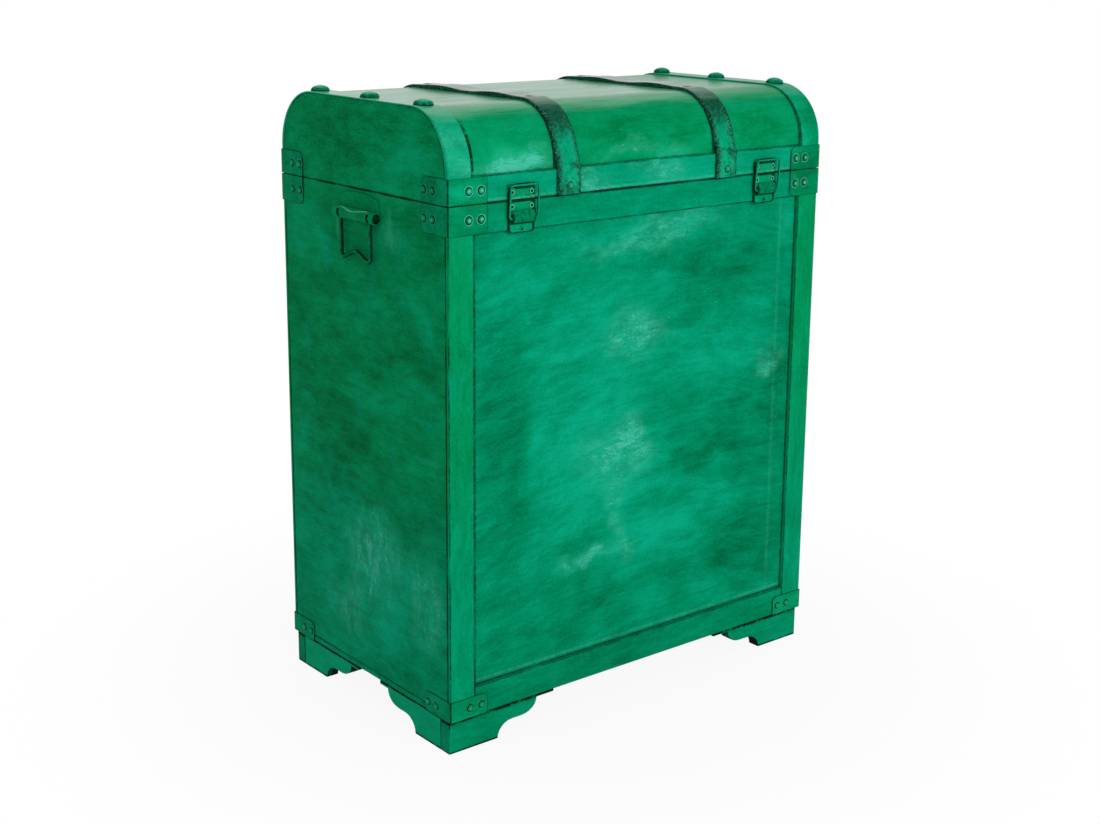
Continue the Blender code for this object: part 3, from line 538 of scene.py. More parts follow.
class Piece:
    """A mesh put together from strips, turned heads, bars and rods, with paint masks at each point.

    It is drawn in a mirrored frame: X from the middle or from shift, Y from the middle, both times flip.
    """

    def __init__(self, flip=(1, 1), shift=0.0):
        self.flip = flip
        self.shift = shift
        self.shape = bmesh.new()
        self.glaze = self.shape.verts.layers.float.new("glaze")
        self.worn = self.shape.verts.layers.float.new("worn")

    def point(self, place, glaze, worn):
        x, y, z = place
        made = self.shape.verts.new((self.shift + x * self.flip[0], MIDDLE_Y + y * self.flip[1], z))
        made[self.glaze] = glaze
        made[self.worn] = worn
        return made

    def bridge(self, rings):
        """Joins rings of places, each with its darkening and its lightening, into a skin and closes both
        ends.
        """
        rings = [[self.point(*spot) for spot in ring] for ring in rings]
        for near, far in zip(rings, rings[1:]):
            count = max(len(near), len(far))
            for i in range(count):
                j = (i + 1) % count
                corners = (near[i % len(near)], near[j % len(near)], far[j % len(far)], far[i % len(far)])
                self.shape.faces.new(dict.fromkeys(corners))
        for ring in (rings[0], rings[-1]):
            if len(ring) > 2:
                self.shape.faces.new(ring)

    def strip(self, stations, across, thick, rim, ease, dark=0.4, walls=(1, 1)):
        """A thin plate along stations: base point, way out, two edges across it, and the least darkening all
        over; its walls and rim are darkened with glazing and painted shade, less where it faces up, and its
        top's edge is lightened with wear and a painted highlight.
        """
        rings = []
        for number, (base, out, low, high, glaze) in enumerate(stations):
            end = number in (0, len(stations) - 1)
            top = thick - ease if end else thick
            up = max(Vector(out).normalized().z, 0) ** 2
            wall = 1 - 0.4 * up
            border = ease + (rim - ease) * (1 - 0.7 * up)
            half = [(0, 0, wall, 0), (0, thick - ease, wall, 0.2),
                    (ease, top, dark, 0.7 - 0.7 * dark), (border, top, 0, 0)]
            section = [(low + side, rise, mask * walls[0], worn) for side, rise, mask, worn in half]
            half.reverse()
            section += [(high - side, rise, mask * walls[1], worn) for side, rise, mask, worn in half]
            rings.append([])
            for side, rise, mask, worn in section:
                place = Vector(base) + Vector(across) * side + Vector(out) * rise
                rings[-1].append((place, max(mask, glaze), worn))
        self.bridge(rings)

    def turn(self, base, way, profile, sides=24):
        """A turned shape: each step of the profile is its radius, its place along the way, the darkening of
        glazing and painted shade, and the lightening of wear and painted highlight.
        """
        way = Vector(way).normalized()
        first = way.orthogonal().normalized()
        second = way.cross(first)
        rings = []
        for radius, rise, glaze, worn in profile:
            centre = Vector(base) + way * rise
            circle = spokes(first, second, radius, sides if radius else 1)
            rings.append([(centre + spoke, glaze, worn) for _, spoke in circle])
        self.bridge(rings)

    def rod(self, path, plane, radius, worn=0.3, dark=0.0, sides=12):
        """A round wire along a path that lies in one plane, darkened on its flanks as painted shade, and
        lightened with wear and a painted highlight where it faces along the plane.
        """
        plane = Vector(plane).normalized()
        rings = []
        for before, here, after in zip([path[0], *path], path, [*path[1:], path[-1]]):
            side = plane.cross((Vector(after) - Vector(before)).normalized())
            rings.append([])
            for angle, spoke in spokes(plane, side, radius, sides):
                glaze = dark + (1 - dark) * math.sin(angle) ** 2
                rings[-1].append((Vector(here) + spoke, glaze, worn * (1 - glaze)))
        self.bridge(rings)

    def bar(self, outline, half, rim, ease, worn=0.0, offset=0.0, dark=0.1, foot=0.0):
        """A section in Y and Z pushed along X to both sides, its ends eased, and its ends and foot darkened
        with glazing and painted shade.
        """
        centre = sum((Vector(p) for p in outline), Vector((0, 0))) / len(outline)
        low = min(spot[1] for spot in outline)
        rings = []
        for x, pull, glaze in ((-half, ease, 1), (-half + ease, 0, 0.8), (-half + rim, 0, dark),
                               (half - rim, 0, dark), (half - ease, 0, 0.8), (half, ease, 1)):
            rings.append([])
            for spot in outline:
                spoke = Vector(spot) - centre
                spoke *= 1 - pull / max(spoke.length, 2 * ease)
                mask = 1.0 if spot[1] < low + foot else glaze
                rings[-1].append(((offset + x, centre.x + spoke.x, centre.y + spoke.y), mask, worn))
        self.bridge(rings)

    def head(self, base, way, radius, height, steps, foot, worn):
        profile = [(radius * share, height * rise, glaze, wear * worn) for share, rise, glaze, wear in steps]
        self.turn(base, way, [(radius, -HEAD_SUNK, foot, 0), *profile])

    def rivet(self, base, way, height=RIVET_HEIGHT, worn=1.0):
        """A domed head in a pale ring, with a dark groove between them: the groove's dark is painted shade,
        and the ring and the top of the dome are lightened with wear and a painted highlight.
        """
        self.head(base, way, RIVET_RADIUS, height, RIVET_STEPS, 0.9, worn)

    def screw(self, base, way, worn):
        """A head with a rim lightened with wear and a painted highlight, round a dimple darkened with painted
        shade.
        """
        self.head(base, way, SCREW_RADIUS, SCREW_HEIGHT, SCREW_STEPS, 1, worn)


def arc(centre, radii, start, end, steps):
    """Points on an ellipse's arc, angles in degrees from the first axis towards the second."""
    angles = [math.radians(start + (end - start) * i / steps) for i in range(steps + 1)]
    return [(centre[0] + radii[0] * math.cos(a), centre[1] + radii[1] * math.sin(a)) for a in angles]


def rounded_path(corners, radius, steps=8):
    """A line through corners in space, with each inner corner turned on an arc."""
    corners = [Vector(c) for c in corners]
    path = [corners[0]]
    for before, corner, after in zip(corners, corners[1:], corners[2:]):
        back_way, on_way = (before - corner).normalized(), (after - corner).normalized()
        half = back_way.angle(on_way) / 2
        centre = corner + (back_way + on_way).normalized() * (radius / math.sin(half))
        trim = radius / math.tan(half)
        start, end = corner + back_way * trim - centre, corner + on_way * trim - centre
        path += [centre + start.slerp(end, i / steps).normalized() * radius for i in range(steps + 1)]
    return path + [corners[-1]]


def corner_inset(gap, radius):
    """How far a rounded corner draws an edge in, this far from the plate's end."""
    return radius - math.sqrt(max(radius ** 2 - max(radius - gap, 0) ** 2, 0))


def bracket_stations(low, high, round_low, round_high):
    """A bracket from its free end on the side, round the corner, to its free end on the face."""
    bend = Vector((SIDE_X + FIT - BRACKET_BEND, FACE_Y + FIT - BRACKET_BEND, 0))

    def leg(length, out, back):
        start = bend + Vector(out) * BRACKET_BEND
        shares = (0.15, 0.3, 0.5, 0.75, 1)
        gaps = [0, PLATE_EDGE, *(BRACKET_CORNER * share for share in shares), length - FIT]
        found = []
        for gap in gaps:
            inset = corner_inset(gap, BRACKET_CORNER)
            edges = (low + inset * round_low, high - inset * round_high)
            found.append((start + Vector(back) * (length - gap), out, *edges, 1.0 if gap < MM else 0.0))
        return found

    stations = leg(BRACKET_SIDE_LEG - BRACKET_BEND, (1, 0, 0), (0, -1, 0))
    for x, y in arc((0, 0), (1, 1), 15, 75, 4):
        stations.append((bend + Vector((x, y, 0)) * BRACKET_BEND, (x, y, 0), low, high, 0.8))
    return stations + leg(BRACKET_FACE_LEG - BRACKET_BEND, (0, 1, 0), (-1, 0, 0))[::-1]


def bracket_span(kind):
    """The heights of a bracket's lower and upper edge."""
    return [corner.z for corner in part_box(f"{kind}_bracket_back_right")]


def build_brackets(iron):
    out = FIT + BRACKET_THICK
    for kind, body, round_low, round_high in BRACKETS:
        low, high = bracket_span(kind)
        stations = bracket_stations(low, high, round_low, round_high)
        # The rivets of the low brackets, and those that face the side, get a weaker painted highlight
        worn = 0.75 if kind == "bottom" else 1.0
        level = (low + high) / 2
        for face, flip_y in FACES.items():
            for side, flip_x in SIDES.items():
                plate = Piece((flip_x, flip_y))
                plate.strip(stations, (0, 0, 1), BRACKET_THICK, 2.2 * MM, PLATE_EDGE, 0.3)
                for run in RIVET_RUNS:
                    plate.rivet((SIDE_X - run, FACE_Y + out, level), (0, 1, 0), worn=worn)
                    plate.rivet((SIDE_X + out, FACE_Y - run, level), (1, 0, 0), worn=0.75)
                node = f"{kind}_bracket_{face}_{side}"
                settle(plate.shape, f"{node}_plate", iron, "green_iron", body, node)


def lid_line(inset, top_inset, steps):
    """The lid's section from front joint to back joint, this far inside its faces and its top."""
    half = [(FACE_Y - inset, LID_LOW), (FACE_Y - inset, LID_LOW + MM)]
    radii = (SHOULDER - inset, SHOULDER - top_inset)
    half += arc((FACE_Y - SHOULDER, LID_TOP - SHOULDER), radii, 0, 90, steps)
    return [Vector((0, -y, z)) for y, z in half] + [Vector((0, y, z)) for y, z in reversed(half)]


def build_bands(paint):
    lines = zip(lid_line(LAID - FIT, BAND_TOP - FIT, 20), lid_line(0, 0, 20))
    stations = [(near, (far - near) / BAND_THICK, BAND_IN, SIDE_X, 0.0) for near, far in lines]
    for side, flip in SIDES.items():
        band = Piece((flip, 1))
        # The band's inner wall is darkened as painted shade
        band.strip(stations, (1, 0, 0), BAND_THICK, 3 * MM, 1.2 * MM, 0.4, (0.65, 0.1))
        for step in (-1, 0, 1):
            y = step * (FACE_Y - NAIL_FROM_FACE)
            lean = math.asin(max(abs(y) - (FACE_Y - SHOULDER), 0) / SHOULDER) * step
            z = LID_TOP - SHOULDER + SHOULDER * math.cos(lean)
            # Domed nails: painted shade towards the base, and a painted highlight towards the top
            profile = [(NAIL_RADIUS, -0.5 * MM, 1, 0), (NAIL_RADIUS, 0.5 * MM, 1, 0)]
            for radius, rise in arc((0, 0.8 * MM), (NAIL_RADIUS * 0.97, NAIL_HEIGHT - 0.8 * MM), 0, 80, 8):
                share = rise / NAIL_HEIGHT
                profile.append((radius, rise, 0.72 - 0.3 * share, 0.3 * share ** 2))
            profile.append((0, NAIL_HEIGHT, 0.42, 0.3))
            band.turn(((BAND_IN + SIDE_X) / 2, y, z), (0, math.sin(lean), math.cos(lean)), profile, 32)
        node = f"lid_band_{side}"
        settle(band.shape, f"{node}_nailed", paint, "green_frame", "lid", node)


def strap_line():
    """A strap's inner line from front end to back end: points and the way out, longer where it lies loose."""
    reach_y, reach_z = SHOULDER - LAID + FIT, SHOULDER - BAND_TOP + FIT
    centre_y, centre_z = FACE_Y - SHOULDER, LID_TOP - SHOULDER
    face = FACE_Y + FIT
    half = [((0, face, LID_LOW), (0, 1, 0)), ((0, face, LID_LOW + 0.5 * MM), (0, 1, 0))]
    half += [((0, face, LID_LOW + rise), (0, 1, 0)) for rise in mm(4, 10, 18, 25)]
    lean = STRAP_RAMP / 2
    half.append(((0, face, LID_RAIL_TOP + FIT), (0, math.cos(lean), math.sin(lean))))
    ramp = math.degrees(STRAP_RAMP)
    for y, z in arc((0, 0), (1, 1), ramp, 90, 18):
        half.append(((0, centre_y + reach_y * y, centre_z + reach_z * z), (0, y, z)))
    for tenth in range(9, 0, -1):
        share = tenth / 10
        lift = 1 - STRAP_DIP * (1 - share) + STRAP_HUMP * math.sin(math.pi * share) ** 2
        half.append(((0, centre_y * share, centre_z + reach_z), (0, 0, lift)))
    other = [((0, -place[1], place[2]), (0, -out[1], out[2])) for place, out in half]
    return other + half[::-1]


def build_straps(leather):
    for side, flip in SIDES.items():
        strap = Piece((flip, 1))
        stations = []
        for place, out in strap_line():
            wave = abs(noise.noise(Vector(place) * 45 + Vector((flip * 9, 0, 0))) * STRAP_WAVE)
            stations.append((place, out, STRAP_X - STRAP_HALF + wave, STRAP_X + STRAP_HALF - wave, 0.0))
        strap.strip(stations, (1, 0, 0), STRAP_THICK, 13 * MM, 1.1 * MM, 0.85)
        top = LID_TOP - BAND_TOP + FIT + STRAP_THICK
        nail_y = FACE_Y - SHOULDER - STRAP_NAIL_IN
        for way in FACES.values():
            end = (STRAP_X, way * (FACE_Y + FIT + STRAP_THICK), LID_LOW + STRAP_RIVET_RISE)
            strap.rivet(end, (0, way, 0))
            strap.rivet((STRAP_X, way * nail_y, top), (0, 0, 1), STRAP_NAIL_RISE)
        node = f"strap_{side}"
        settle(strap.shape, f"{node}_leather", leather, "strap_leather", "lid", node)


def flat_plate(piece, half, low, high, corner, plane):
    """A plate on the front: flat, its lower corners rounded, edges given from the lid joint."""
    gaps = [corner * share for share in (0.2, 0.45, 0.7, 1)] if corner else mm(2, 4)
    runs = [-half + gap for gap in (0, PLATE_EDGE, *gaps, 8 * MM)]
    runs += [-run for run in reversed(runs)]
    stations = []
    for run in runs:
        gap = half - abs(run)
        edges = (JOINT_Z + low + corner_inset(gap, corner), JOINT_Z + high)
        # Painted shade along both ends of the plate, wider at the right end
        reach = 5.5 * MM if run > 0 else 3.2 * MM
        stations.append(((run, plane, 0), (0, 1, 0), *edges, 1.3 - gap / reach))
    piece.strip(stations, (0, 0, 1), PLATE_THICK, 3.2 * MM, PLATE_EDGE, 0.95)


def latch_section(points):
    return [(FACE_Y + out, JOINT_Z + rise) for out, rise in points]


def latch_screw(piece, x, rise, worn=1.0):
    piece.screw((x, FACE_Y + PLATE_FACE, JOINT_Z + rise), (0, 1, 0), worn)


def build_catch(piece):
    flat_plate(piece, PLATE_HALF, LID_GAP, CATCH_TOP, 0, FACE_Y + FIT)
    rib = arc((PLATE_FACE - FIT, RIB_RISE), (RIB_RADIUS, RIB_RADIUS), -90, 90, 10)
    piece.bar(latch_section(rib), RIB_HALF, 2 * MM, 0.5 * MM, 0.7)
    inner = PLATE_FACE - FIT
    lip = HOOK_OUT - HOOK_SHEET
    hook = [(inner, HOOK_SEAT - HOOK_SHEET), (lip, HOOK_SEAT - HOOK_SHEET), (HOOK_OUT, HOOK_SEAT),
            (HOOK_OUT, HOOK_TIP), (lip, HOOK_TIP), (lip, HOOK_SEAT), (inner, HOOK_SEAT)]
    # The hook, behind the bail's top bar, is darkened as painted shade
    piece.bar(latch_section(hook), HOOK_HALF, 1.5 * MM, 0.2 * MM, dark=0.9)
    for x in (-SCREW_SPREAD, SCREW_SPREAD):
        latch_screw(piece, x, CATCH_SCREW_RISE)


def build_base(piece):
    flat_plate(piece, PLATE_HALF, -BASE_DROP, -LID_GAP, BASE_CORNER, FACE_Y + FIT)
    ear = [(PLATE_FACE - FIT, -PIVOT_DROP - EAR_HALF)]
    ear += arc((PIVOT_OUT, -PIVOT_DROP), (EAR_HALF, EAR_HALF), -90, 90, 8)
    ear.append((PLATE_FACE - FIT, -PIVOT_DROP + EAR_HALF))
    for way in (-1, 1):
        middle = way * (LEVER_HALF + FIT + EAR_THICK / 2)
        piece.bar(latch_section(ear), EAR_THICK / 2, 0.5 * MM, 0.2 * MM, 0.5, middle)
    for x in (-SCREW_SPREAD, SCREW_SPREAD):
        latch_screw(piece, x, -BASE_SCREW_DROP)
    latch_screw(piece, 0, -TAB_SCREW_DROP, 0.4)


def build_lever(piece):
    steps = 22
    front = []
    for i in range(steps + 1):
        share = i / steps
        bulge = LEVER_LIFT + (LEVER_OUT - PIVOT_OUT - LEVER_LIFT) * math.sin(math.pi * share)
        rise = LEVER_RISE + (PIVOT_DROP - LEVER_DROP - LEVER_RISE) * share
        front.append((PIVOT_OUT + bulge, -PIVOT_DROP + rise))
    eased = LEVER_BACK + LEVER_EASE
    back = [(eased, -LEVER_DROP), (LEVER_BACK, -LEVER_DROP + 2 * LEVER_EASE), (LEVER_BACK, -PIVOT_DROP),
            (eased, -PIVOT_DROP + LEVER_RISE)]
    piece.bar(latch_section(front + back), LEVER_HALF, 3.4 * MM, 0.5 * MM, dark=0.55, foot=1.6 * MM)
    reach = LEVER_HALF + FIT + EAR_THICK
    pin = (-reach, FACE_Y + PIVOT_OUT, JOINT_Z - PIVOT_DROP)
    ends = [(PIVOT_RADIUS, 0, 0.4, 0.6), (PIVOT_RADIUS, 2 * reach, 0.4, 0.6)]
    piece.turn(pin, (1, 0, 0), ends, 16)


def build_bail(piece):
    pin_out, pin_rise = PIVOT_OUT + BAIL_PIN_OUT, -PIVOT_DROP - BAIL_PIN_BELOW
    bar_x = PLATE_HALF + BAIL_CLEAR + BAIL_WIRE
    low = (FACE_Y + pin_out, JOINT_Z + pin_rise)
    high = (FACE_Y + HOOK_OUT + BAIL_CLEAR + BAIL_WIRE, JOINT_Z + BAIL_TOP)
    grip = LEVER_HALF - BAIL_PIN_GRIP
    corners = [(-grip, *low), (-bar_x, *low), (-bar_x, *high), (bar_x, *high), (bar_x, *low), (grip, *low)]
    plane = Vector((1, 0, 0)).cross(Vector((0, high[0] - low[0], high[1] - low[1])))
    piece.rod(rounded_path(corners, BAIL_BEND), plane, BAIL_WIRE, 0.6)


def build_handle_plate(piece):
    line = SIDE_X + HANDLE_OUT
    gap_in, gap_out = LOOP_HALF - LOOP_SLOT, LOOP_HALF + LOOP_SLOT
    for start, end in ((-BARREL_HALF, -gap_out), (-gap_in, gap_in), (gap_out, BARREL_HALF)):
        long = end - start
        ease = 0.6 * MM
        first = 1 if start == -BARREL_HALF else 0.5
        last = 1 if end == BARREL_HALF else 0.5
        radius = BARREL_RADIUS
        # The barrel's bores are painted dark as shade, and its rims lightened with wear and a painted
        # highlight
        piece.turn((line, start, HANDLE_Z), (0, 1, 0), [
            (0, 0.4 * long, first, 0), (BARREL_HOLE, 0.4 * long, first, 0), (BARREL_HOLE, 0, first, 0),
            (radius - ease, 0, 0.4, 0.3), (radius, ease, 0.2, 0.5), (radius, 3 * ease, 0, 0),
            (radius, long - 3 * ease, 0, 0), (radius, long - ease, 0.2, 0.5), (radius - ease, long, 0.4, 0.3),
            (BARREL_HOLE, long, last, 0), (BARREL_HOLE, 0.6 * long, last, 0), (0, 0.6 * long, last, 0),
        ])
    hem = []
    reach = BARREL_RADIUS - 0.6 * HEM_WIRE
    for i in range(41):
        share = i / 20 - 1
        angle = math.radians(HEM_ANGLE - HEM_DIP * math.cos(math.pi * share / 2) ** 2)
        hem.append((line + reach * math.cos(angle), share * gap_in, HANDLE_Z + reach * math.sin(angle)))
    # The hem is lightened all along with wear and a painted highlight, and its flanks darkened as painted
    # shade
    piece.rod(hem, (1, 0, 0.8), HEM_WIRE, 1.0, 0.0, 10)
    for way in (-1, 1):
        cover = []
        for x, z in arc((0, 0), (1, 1), 42, 172, 10):
            base = (line + x * (BARREL_RADIUS - MM), way * LOOP_HALF, HANDLE_Z + z * (BARREL_RADIUS - MM))
            cover.append((base, (x, 0, z), -LOOP_SLOT - FIT, LOOP_SLOT + FIT, 0.1))
        piece.strip(cover, (0, 1, 0), MM, 1.5 * MM, 0.2 * MM, 0.1, (0.2, 0.2))
    for point in piece.shape.verts:
        point.co.z = HANDLE_Z + BARREL_LIFT + (point.co.z - HANDLE_Z) * BARREL_TALL
    stations = []
    runs = [-HANDLE_HALF + gap for gap in (*mm(0, 0.4, 1.5, 4, 8, 14, 22, 32), HANDLE_HALF)]
    runs += [-run for run in reversed(runs[:-1])]
    for run in runs:
        arch = HANDLE_SHOULDER + HANDLE_CROWN * math.sqrt(max(1 - (run / HANDLE_HALF) ** 2, 0))
        edges = (HANDLE_Z - BARREL_RADIUS / 2, HANDLE_Z + arch)
        end = HANDLE_HALF - abs(run) < MM
        stations.append(((SIDE_X + FIT, run, 0), (1, 0, 0), *edges, 0.45 if end else 0.0))
    piece.strip(stations, (0, 0, 1), PLATE_THICK, 1.8 * MM, PLATE_EDGE, 0.3, (0.5, 0.5))


def build_handle_loop(piece):
    line = SIDE_X + HANDLE_OUT
    grip = LOOP_HALF - LOOP_EYE_BEND - LOOP_GRIP
    foot = HANDLE_Z - LOOP_DROP
    elbow = (line, LOOP_HALF, HANDLE_Z - LOOP_DROP / 2)
    top = rounded_path([(line, grip, HANDLE_Z), (line, LOOP_HALF, HANDLE_Z), elbow], LOOP_EYE_BEND)
    low = rounded_path([elbow, (line, LOOP_HALF, foot), (line, 0, foot + LOOP_HUMP)], LOOP_BEND)
    half = top[:-1] + low[:-1]
    crest = [(line, y, foot + LOOP_CREST - abs(y) * 0.12) for y in mm(3, 0, -3)]
    other = [Vector((p.x, -p.y, p.z)) for p in reversed(half)]
    piece.rod([*half, *(Vector(c) for c in crest), *other], (1, 0, 0), LOOP_WIRE, 0.3, 0.5)


def build_fittings(iron, *parts):
    """Parts on both sides of the chest; one without a body has a body of its own."""
    for side, flip in SIDES.items():
        for part, body, make in parts:
            node = f"{part}_{side}"
            piece = Piece((1, -1), flip * LATCH_X) if part.startswith("latch") else Piece((flip, 1))
            make(piece)
            settle(piece.shape, f"{node}_iron", iron, "green_iron", body or node, node)


def masks(nodes):
    """The darkening of glazing and painted shade, and the lightening of wear and painted highlight, kept at
    the points of a piece.
    """
    names = ("glaze", "worn")
    return [nodes.node("ShaderNodeAttribute", {"attribute_name": name}, output="Fac") for name in names]


def painted_iron(name, coats, tone, wax_and_painted_sheen=False, wipes=(), dust=()):
    """Green paint over iron: darkened in the corners with glazing and painted shade, and lightened on what
    stands out with wear and painted highlights.
    """
    material, nodes, shader = finish(name)
    colour, height, scuffs = rubbed_paint(nodes, "X", coats, tone, wipes, dust, mottle=1.5)
    glaze, worn = masks(nodes)
    ragged = nodes.cloud((260, 260, 260), 3)
    dark = nodes.rise(glaze + (ragged - 0.5) * 0.7, 0.35, 0.85)
    bright = nodes.rise(worn + (ragged - 0.5) * 0.9, 0.55, 1.0)
    # Wear and painted highlights lighten what stands out; glazing and painted shade darken the corners
    colour = nodes.mix(bright * 0.75, colour, RUBBED_AND_HIGHLIGHT)
    colour = nodes.mix(dark * 0.92, colour, DARK_TONE_AND_SHADE)
    sheen = bright * 0.15
    # Painted sheen mixed into the colour where it faces up, under a real wax coat
    if wax_and_painted_sheen:
        dust_and_painted_sheen, sheen = top_sheen(nodes)
        colour = nodes.mix(dust_and_painted_sheen, colour, PAINTED_SHEEN)
    set_paint(nodes, shader, colour, PAINT_ROUGH + scuffs * 0.2 + dark * 0.15, height, sheen=sheen)
    return material


def strap_leather():
    """Dark leather with green paint left on its hanging ends, speckled and black along the edges, the black
    partly painted shade; its rivets are lightened with wear and painted highlights, and a painted sheen lies
    where it faces up.
    """
    material, nodes, shader = finish("strap_leather")
    colour, height, _ = rubbed_paint(nodes, "Y", EVEN, 0.88, mottle=2.0)
    glaze, worn = masks(nodes)
    ragged = nodes.cloud((210, 210, 210), 4, 0.65)
    speck = nodes.cloud((560, 560, 560), 2, 0.6)
    bald = nodes.rise(nodes.cloud((70, 70, 70), 6, 0.7), 0.46, 0.62) * 0.7
    bend = nodes.rise(nodes.z + (ragged - 0.5) * 0.04, LID_TOP - 58 * MM, LID_TOP - 20 * MM)
    hide = nodes.mix(nodes.rise(ragged, 0.40, 0.62), LEATHER, DARK_TONE_AND_SHADE)
    colour = nodes.mix(bald.most(bend * 0.85), colour, hide)
    # Black along the edges: dark leather edges and painted shade
    dark = nodes.rise(glaze + (ragged - 0.5) * 0.8 + (speck - 0.5) * 2.4, 0.38, 0.75)
    colour = nodes.mix(dark * 0.9, colour, DARK_TONE_AND_SHADE)
    pale = nodes.rise(speck, 0.55, 0.64) * nodes.rise(glaze, 0.10, 0.45)
    pale = pale.most(nodes.rise(worn + (ragged - 0.5), 0.75, 1.1))
    colour = nodes.mix(pale * 0.45, colour, RUBBED_AND_HIGHLIGHT)
    # Painted sheen at half strength where the strap faces up, under a shining coat
    dust_and_painted_sheen, sheen = top_sheen(nodes)
    colour = nodes.mix(dust_and_painted_sheen * 0.5, colour, PAINTED_SHEEN)
    set_paint(nodes, shader, colour, LEATHER_ROUGH + dark * 0.1, height + ragged, LEATHER_BUMP, sheen * 1.2)
    return material


def bracket_lines(nodes, along, edge, leg, kinds):
    """Faint dark glazing and painted shade round the brackets on a face, whose legs run from its edge and
    past it.
    """
    found = []
    past = 20 * MM
    for kind in kinds:
        low, high = bracket_span(kind)
        centre = (edge - (leg - past) / 2, (low + high) / 2)
        half = ((leg + past) / 2, (high - low) / 2)
        found.append((nodes.outline(along, nodes.z, centre, half, 1.6 * MM), 0.5))
    return found


def face_brackets(nodes, *kinds):
    return bracket_lines(nodes, nodes.across, SIDE_X, BRACKET_FACE_LEG, kinds)


def side_brackets(nodes, *kinds):
    return bracket_lines(nodes, nodes.along, FACE_Y, BRACKET_SIDE_LEG, kinds)


def latch_lines(nodes):
    """Dark glazing and painted shade round a latch's plates and along its bail."""
    middle = JOINT_Z + (BAIL_TOP - BASE_DROP) / 2
    tall = (BAIL_TOP + BASE_DROP) / 2
    wide = PLATE_HALF + BAIL_CLEAR
    return [(nodes.outline(nodes.across, nodes.z, (LATCH_X, middle), (wide, tall), 1.7 * MM), 0.95)]


def strap_lines(nodes):
    return [(nodes.seam(abs(nodes.across - STRAP_X), STRAP_HALF, 2.2 * MM), 0.9)]


def upright_lines(nodes, edge, reach):
    """Painted shade beside a pair of raised edges: broad on the left, and only in the corner on the right."""
    broad = nodes.rise(nodes.x + edge, reach + MM, reach - MM)
    return broad.most(nodes.seam(nodes.x, edge, 1.8 * MM))


def panel_lines(nodes):
    return [
        (upright_lines(nodes, STILE_IN, 6.6 * MM), 0.8),
        (nodes.seam(nodes.z, TOP_RAIL_LOW, 2.0 * MM), 0.8),
        (nodes.seam(nodes.z, BOTTOM_RAIL_TOP, 2.0 * MM), 0.9),
        # Painted highlights: along the panel's lower edge, and along a ridge near the right stile
        (nodes.seam(nodes.z, BOTTOM_RAIL_TOP + 5 * MM, 3 * MM), -0.28),
        (nodes.seam(nodes.x, STILE_IN - 28 * MM, 5 * MM), -0.12),
    ]


def joint_line(nodes):
    return [(nodes.seam(nodes.z, JOINT_Z, 2.6 * MM), 0.95)]


def skin_lines(nodes):
    fades = nodes.rise(nodes.z, LID_TOP - 6 * MM, LID_TOP - 35 * MM)
    # Painted shade beside the bands, fading towards the top
    bands = (upright_lines(nodes, BAND_IN, 7.5 * MM) * fades, 0.95)
    rails = (nodes.seam(nodes.z, LID_RAIL_TOP, 1.8 * MM), 0.7)
    straps = [(line * (0.4 + fades * 0.6), strength) for line, strength in strap_lines(nodes)]
    return [bands, rails, *straps]


def side_lines(nodes):
    half = (HANDLE_SHOULDER + HANDLE_CROWN) / 2
    plate = nodes.outline(nodes.along, nodes.z, (0, HANDLE_Z + half), (HANDLE_HALF, half), 1.5 * MM)
    corner = nodes.rise(nodes.along, FACE_Y - LAID - 2 * MM, FACE_Y - LAID)
    return [(plate, 0.3), (corner, 1.3), *side_brackets(nodes, "top", "bottom"), *joint_line(nodes)]


def corner_lines(nodes):
    return face_brackets(nodes, "top", "bottom")


def foot_lines(nodes, part, shade):
    """Painted shade under the chest, and darker on the cut edges and along the very bottom of a foot that
    faces along X or along Y.
    """
    cut = nodes.rise(abs(nodes.split(nodes.normal, part)), 0.95, 0.75)
    cut = cut * nodes.rise(SIDE_X - nodes.across, MM, 3 * MM)
    # Darker along the very bottom of the foot
    worn = nodes.rise(nodes.z, 4 * MM, MM)
    return [(nodes.seam(nodes.z, BODY_LOW, shade), 3.2), (cut.most(worn), 2.4)]


def foot_face_lines(nodes):
    return foot_lines(nodes, 1, 8 * MM)


def foot_return_lines(nodes):
    return foot_lines(nodes, 0, 4 * MM)


def top_rail_lines(nodes):
    return [*face_brackets(nodes, "top"), *latch_lines(nodes), *joint_line(nodes)]


def lid_rail_lines(nodes):
    worn = (nodes.seam(nodes.z, LID_LOW + 3.5 * MM, 2.5 * MM), -0.35)
    return [*face_brackets(nodes, "lid"), *latch_lines(nodes), *strap_lines(nodes), *joint_line(nodes), worn]


def lid_end_lines(nodes):
    out = (nodes.along - (FACE_Y - SHOULDER)).most(0.0) * (1 / (SHOULDER - LAID))
    up = (nodes.z - (LID_TOP - SHOULDER)).most(0.0) * (1 / (SHOULDER - BAND_TOP))
    reach = nodes.vector("LENGTH", nodes.node("ShaderNodeCombineXYZ", {}, {"Y": out, "Z": up}), (0, 0, 0), 1)
    curve = nodes.rise(reach, 0.965, 0.99) * nodes.rise(out, 0.15, 0.45)
    return [*side_brackets(nodes, "lid"), *joint_line(nodes), (curve, 0.9)]


